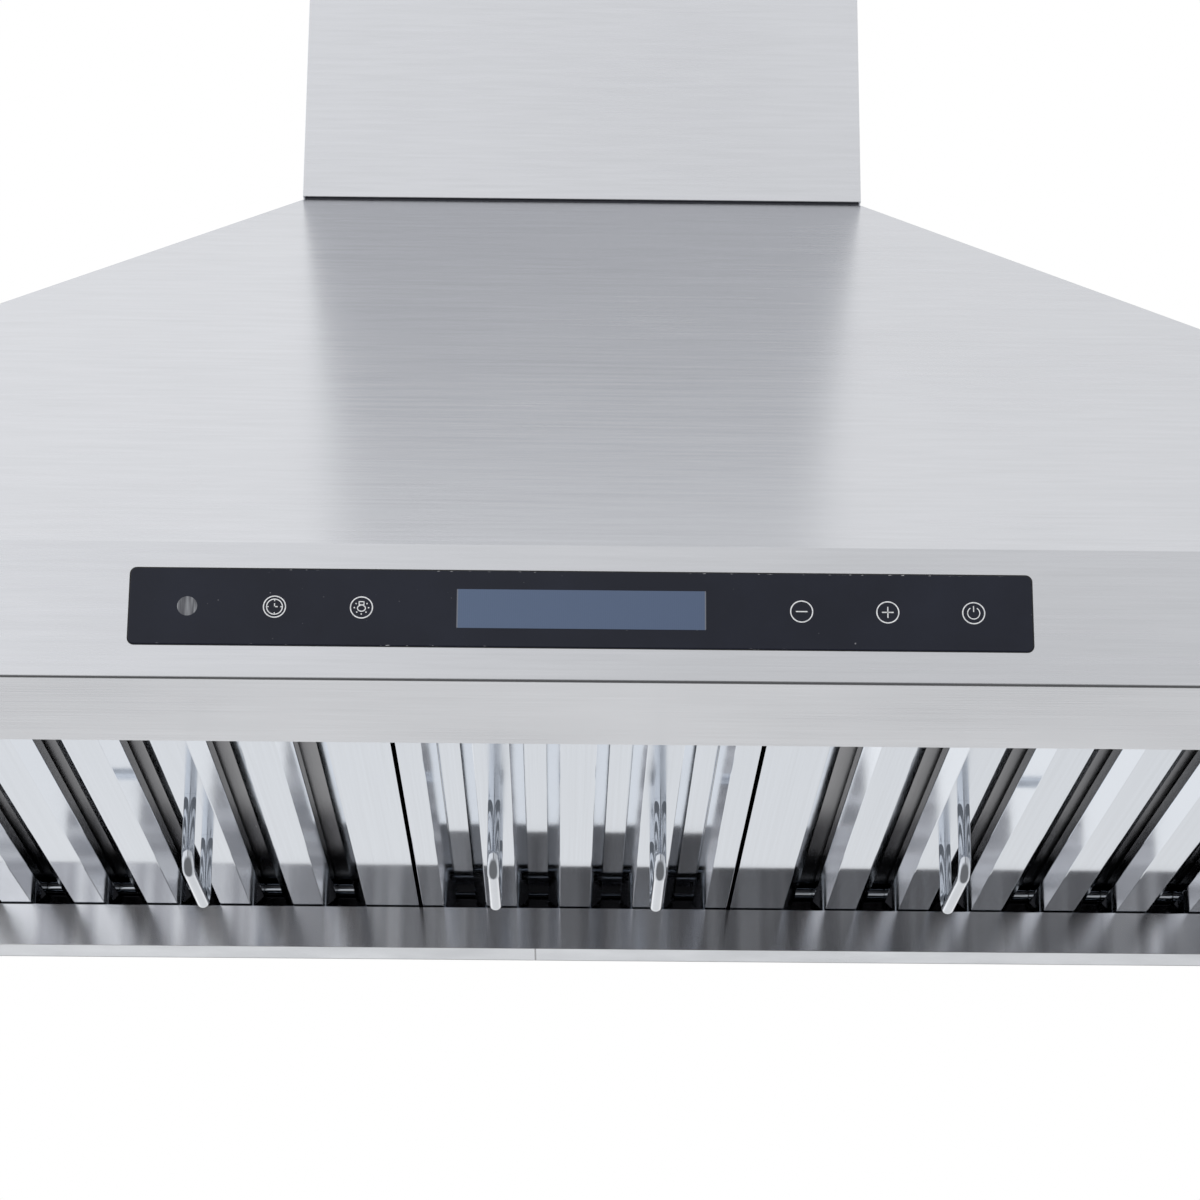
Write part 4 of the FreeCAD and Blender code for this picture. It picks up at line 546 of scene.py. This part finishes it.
# Outlines are in millimetres from the middle of the glass.
GLASS_CORNER, SEAL_WIDE, SEAL_FIT, SEAL_SET = 2.2, 0.38, 0.01, 0.5
GROUND_EDGE = ((0.30, 0.0), (0.10, 0.10), (0.0, 0.30))
"""How far the pane is ground in at each depth below its face."""
RING_RADIUS, RING_LINE = 4.15, 0.42
SYMBOL_X = {"timer": -109.8, "light": -78.7, "less": 78.9, "more": 109.8, "power": 140.6}


def rounded(half_x, half_z, radius, steps=6):
    """Outline of a rounded rectangle."""
    points = []
    for toward_x, toward_z, start in ((1, 1, 0), (-1, 1, 90), (-1, -1, 180), (1, -1, 270)):
        for step in range(steps + 1):
            turn = math.radians(start + 90 * step / steps)
            points.append((toward_x * (half_x - radius) + radius * math.cos(turn),
                           toward_z * (half_z - radius) + radius * math.sin(turn)))
    return points


def oval(radius_x, radius_z, start=0.0, sweep=360.0, steps=48):
    """Outline of an ellipse, or part of one, between two angles."""
    stops = steps if sweep == 360.0 else steps + 1
    turns = [math.radians(start + sweep * step / steps) for step in range(stops)]
    return [(radius_x * math.cos(turn), radius_z * math.sin(turn)) for turn in turns]


def stack(mesh, layers, x=0.0, z=0.0):
    """A closed solid through outlines at rising depths, capped at both ends."""
    loops = [[mesh.verts.new((GLASS_MID.x + (x + across) * MM, depth, GLASS_MID.z + (z + up) * MM))
              for across, up in points] for points, depth in layers]
    count = len(loops[0])
    for near, far in zip(loops, loops[1:]):
        for step in range(count):
            after = (step + 1) % count
            mesh.faces.new((near[step], near[after], far[after], far[step]))
    mesh.faces.new(loops[0])
    mesh.faces.new(loops[-1][::-1])


def loop(mesh, outer, inner, front, back, x=0.0, z=0.0):
    """A closed band between two outlines."""
    rows = [[mesh.verts.new((GLASS_MID.x + (x + across) * MM, depth, GLASS_MID.z + (z + up) * MM))
             for across, up in points]
            for points, depth in ((outer, front), (inner, front), (inner, back), (outer, back))]
    count = len(outer)
    for first, second in zip(rows, rows[1:] + rows[:1]):
        for step in range(count):
            after = (step + 1) % count
            mesh.faces.new((first[step], first[after], second[after], second[step]))


def add_piece(name, mesh, look):
    """Turns a bmesh into a piece that rides on the hood."""
    bmesh.ops.recalc_face_normals(mesh, faces=mesh.faces)
    data = bpy.data.meshes.new(name)
    mesh.to_mesh(data)
    mesh.free()
    data.materials.append(look)
    piece = bpy.data.objects.new(name, data)
    bpy.context.scene.collection.objects.link(piece)
    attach(piece, "hood")
    return piece


def make_glass():
    """Pane with ground edges, its black seal, and the display and sensor windows."""
    half_x = (GLASS_HIGH.x - GLASS_LOW.x) / 2 / MM
    half_z = (GLASS_HIGH.z - GLASS_LOW.z) / 2 / MM
    pane = bmesh.new()
    layers = [(rounded(half_x - inset, half_z - inset, GLASS_CORNER - inset), PANE_FRONT + depth * MM)
              for inset, depth in GROUND_EDGE]
    layers.append((rounded(half_x, half_z, GLASS_CORNER), GLASS_HIGH.y))
    stack(pane, layers)
    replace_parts(add_piece("touch_glass", pane, LOOKS["black_glass"]), "control_glass")
    seal = bmesh.new()
    loop(seal, rounded(half_x + SEAL_WIDE, half_z + SEAL_WIDE, GLASS_CORNER + SEAL_WIDE),
         rounded(half_x + SEAL_FIT, half_z + SEAL_FIT, GLASS_CORNER),
         GLASS_LOW.y + SEAL_SET * MM, GLASS_HIGH.y - SEAL_SET * MM)
    add_piece("glass_seal", seal, LOOKS["rubber"])
    for name, node, look, corner in (("display_window", "lcd_display", "display", 0.25),
                                     ("sensor_window", "remote_sensor", "sensor_window", None)):
        low, high = (Vector(spot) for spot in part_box(node))
        wide, tall = (high.x - low.x) / 2 / MM, (high.z - low.z) / 2 / MM
        outline = rounded(wide, tall, corner) if corner else oval(wide, tall)
        window = bmesh.new()
        stack(window, [(outline, PANE_FRONT - 0.02 * MM), (outline, PANE_FRONT + 0.06 * MM)],
              ((low.x + high.x) / 2 - GLASS_MID.x) / MM, ((low.z + high.z) / 2 - GLASS_MID.z) / MM)
        add_piece(name, window, LOOKS[look])


def make_symbol(name, x, strokes):
    """One printed symbol: a ring, then bars, dots, ovals, frames and arcs round its centre."""
    mesh = bmesh.new()
    loop(mesh, oval(RING_RADIUS, RING_RADIUS), oval(RING_RADIUS - RING_LINE, RING_RADIUS - RING_LINE),
         PRINT_FRONT, PRINT_BACK, x)
    for kind, across, up, *shape in strokes:
        if kind in ("oval", "frame"):
            wide, tall, line = shape
            if kind == "oval":
                outer, inner = oval(wide, tall), oval(wide - line, tall - line)
            else:
                outer, inner = rounded(wide, tall, 0.15), rounded(wide - line, tall - line, 0.05)
            loop(mesh, outer, inner, PRINT_FRONT, PRINT_BACK, x + across, up)
            continue
        if kind == "bar":
            wide, tall = shape
            points = rounded(wide / 2, tall / 2, min(wide, tall) * 0.3)
        elif kind == "dot":
            points = oval(shape[0], shape[0], steps=16)
        else:
            radius, line, start, sweep = shape
            points = oval(radius, radius, start, sweep)
            points += oval(radius - line, radius - line, start, sweep)[::-1]
        stack(mesh, [(points, PRINT_FRONT), (points, PRINT_BACK)], x + across, up)
    add_piece(name, mesh, INK)


def make_symbols():
    """Clock, light, minus, plus and power, as generic symbols."""
    ticks = [("bar", 2.38, 0.0, 0.60, 0.38), ("bar", -2.38, 0.0, 0.60, 0.38),
             ("bar", 0.0, 2.38, 0.38, 0.60), ("bar", 0.0, -2.38, 0.38, 0.60)]
    hands = [("bar", 0.0, 0.55, 0.38, 1.5), ("bar", 0.5, 0.0, 1.35, 0.38)]
    clock = [("oval", 0.0, 0.0, 3.02, 3.02, 0.38)] + ticks + hands
    rays = [("dot", across, up, 0.27)
            for across, up in ((2.55, -0.08), (-2.55, -0.08), (1.95, 1.45), (-1.95, 1.45),
                               (1.65, -1.75), (-1.65, -1.75), (0.0, -2.45))]
    bulb = [("frame", 0.0, 1.62, 1.05, 0.72, 0.34), ("oval", 0.0, -0.28, 1.60, 1.32, 0.36)]
    level_bar = ("bar", 0.0, 0.0, 4.2, 0.42)
    upright_bar = ("bar", 0.0, 0.0, 0.40, 4.2)
    broken_ring = ("arc", 0.0, 0.0, 2.35, 0.34, 122.0, 296.0)
    for key, strokes in (("timer", clock), ("light", bulb + rays), ("less", [level_bar]),
                         ("more", [level_bar, upright_bar]),
                         ("power", [broken_ring, ("bar", 0.0, 1.55, 0.36, 2.2)])):
        make_symbol("symbol_" + key, SYMBOL_X[key], strokes)


# ------------------------------------------------------------------ floor and finish


def make_floor():
    """Pale floor below the hood."""
    mesh = bpy.data.meshes.new("floor")
    corners = [(x * FLOOR_REACH, y * FLOOR_REACH, FLOOR_LEVEL)
               for x, y in ((-1, -1), (1, -1), (1, 1), (-1, 1))]
    mesh.from_pydata(corners, [], [(0, 1, 2, 3)])
    floor = bpy.data.objects.new("floor", mesh)
    g = Graph("floor")
    tone = g.noise(g.place, 3.0, 0.5, 1.5)
    g.set(Base_Color=g.mix(tone, (0.84, 0.84, 0.85), (0.88, 0.88, 0.89)), Roughness=0.7)
    mesh.materials.append(g.material)
    bpy.context.scene.collection.objects.link(floor)
    floor.visible_glossy = False


make_camera()
make_light()
make_floor()
finish_nodes()
make_glass()
make_symbols()
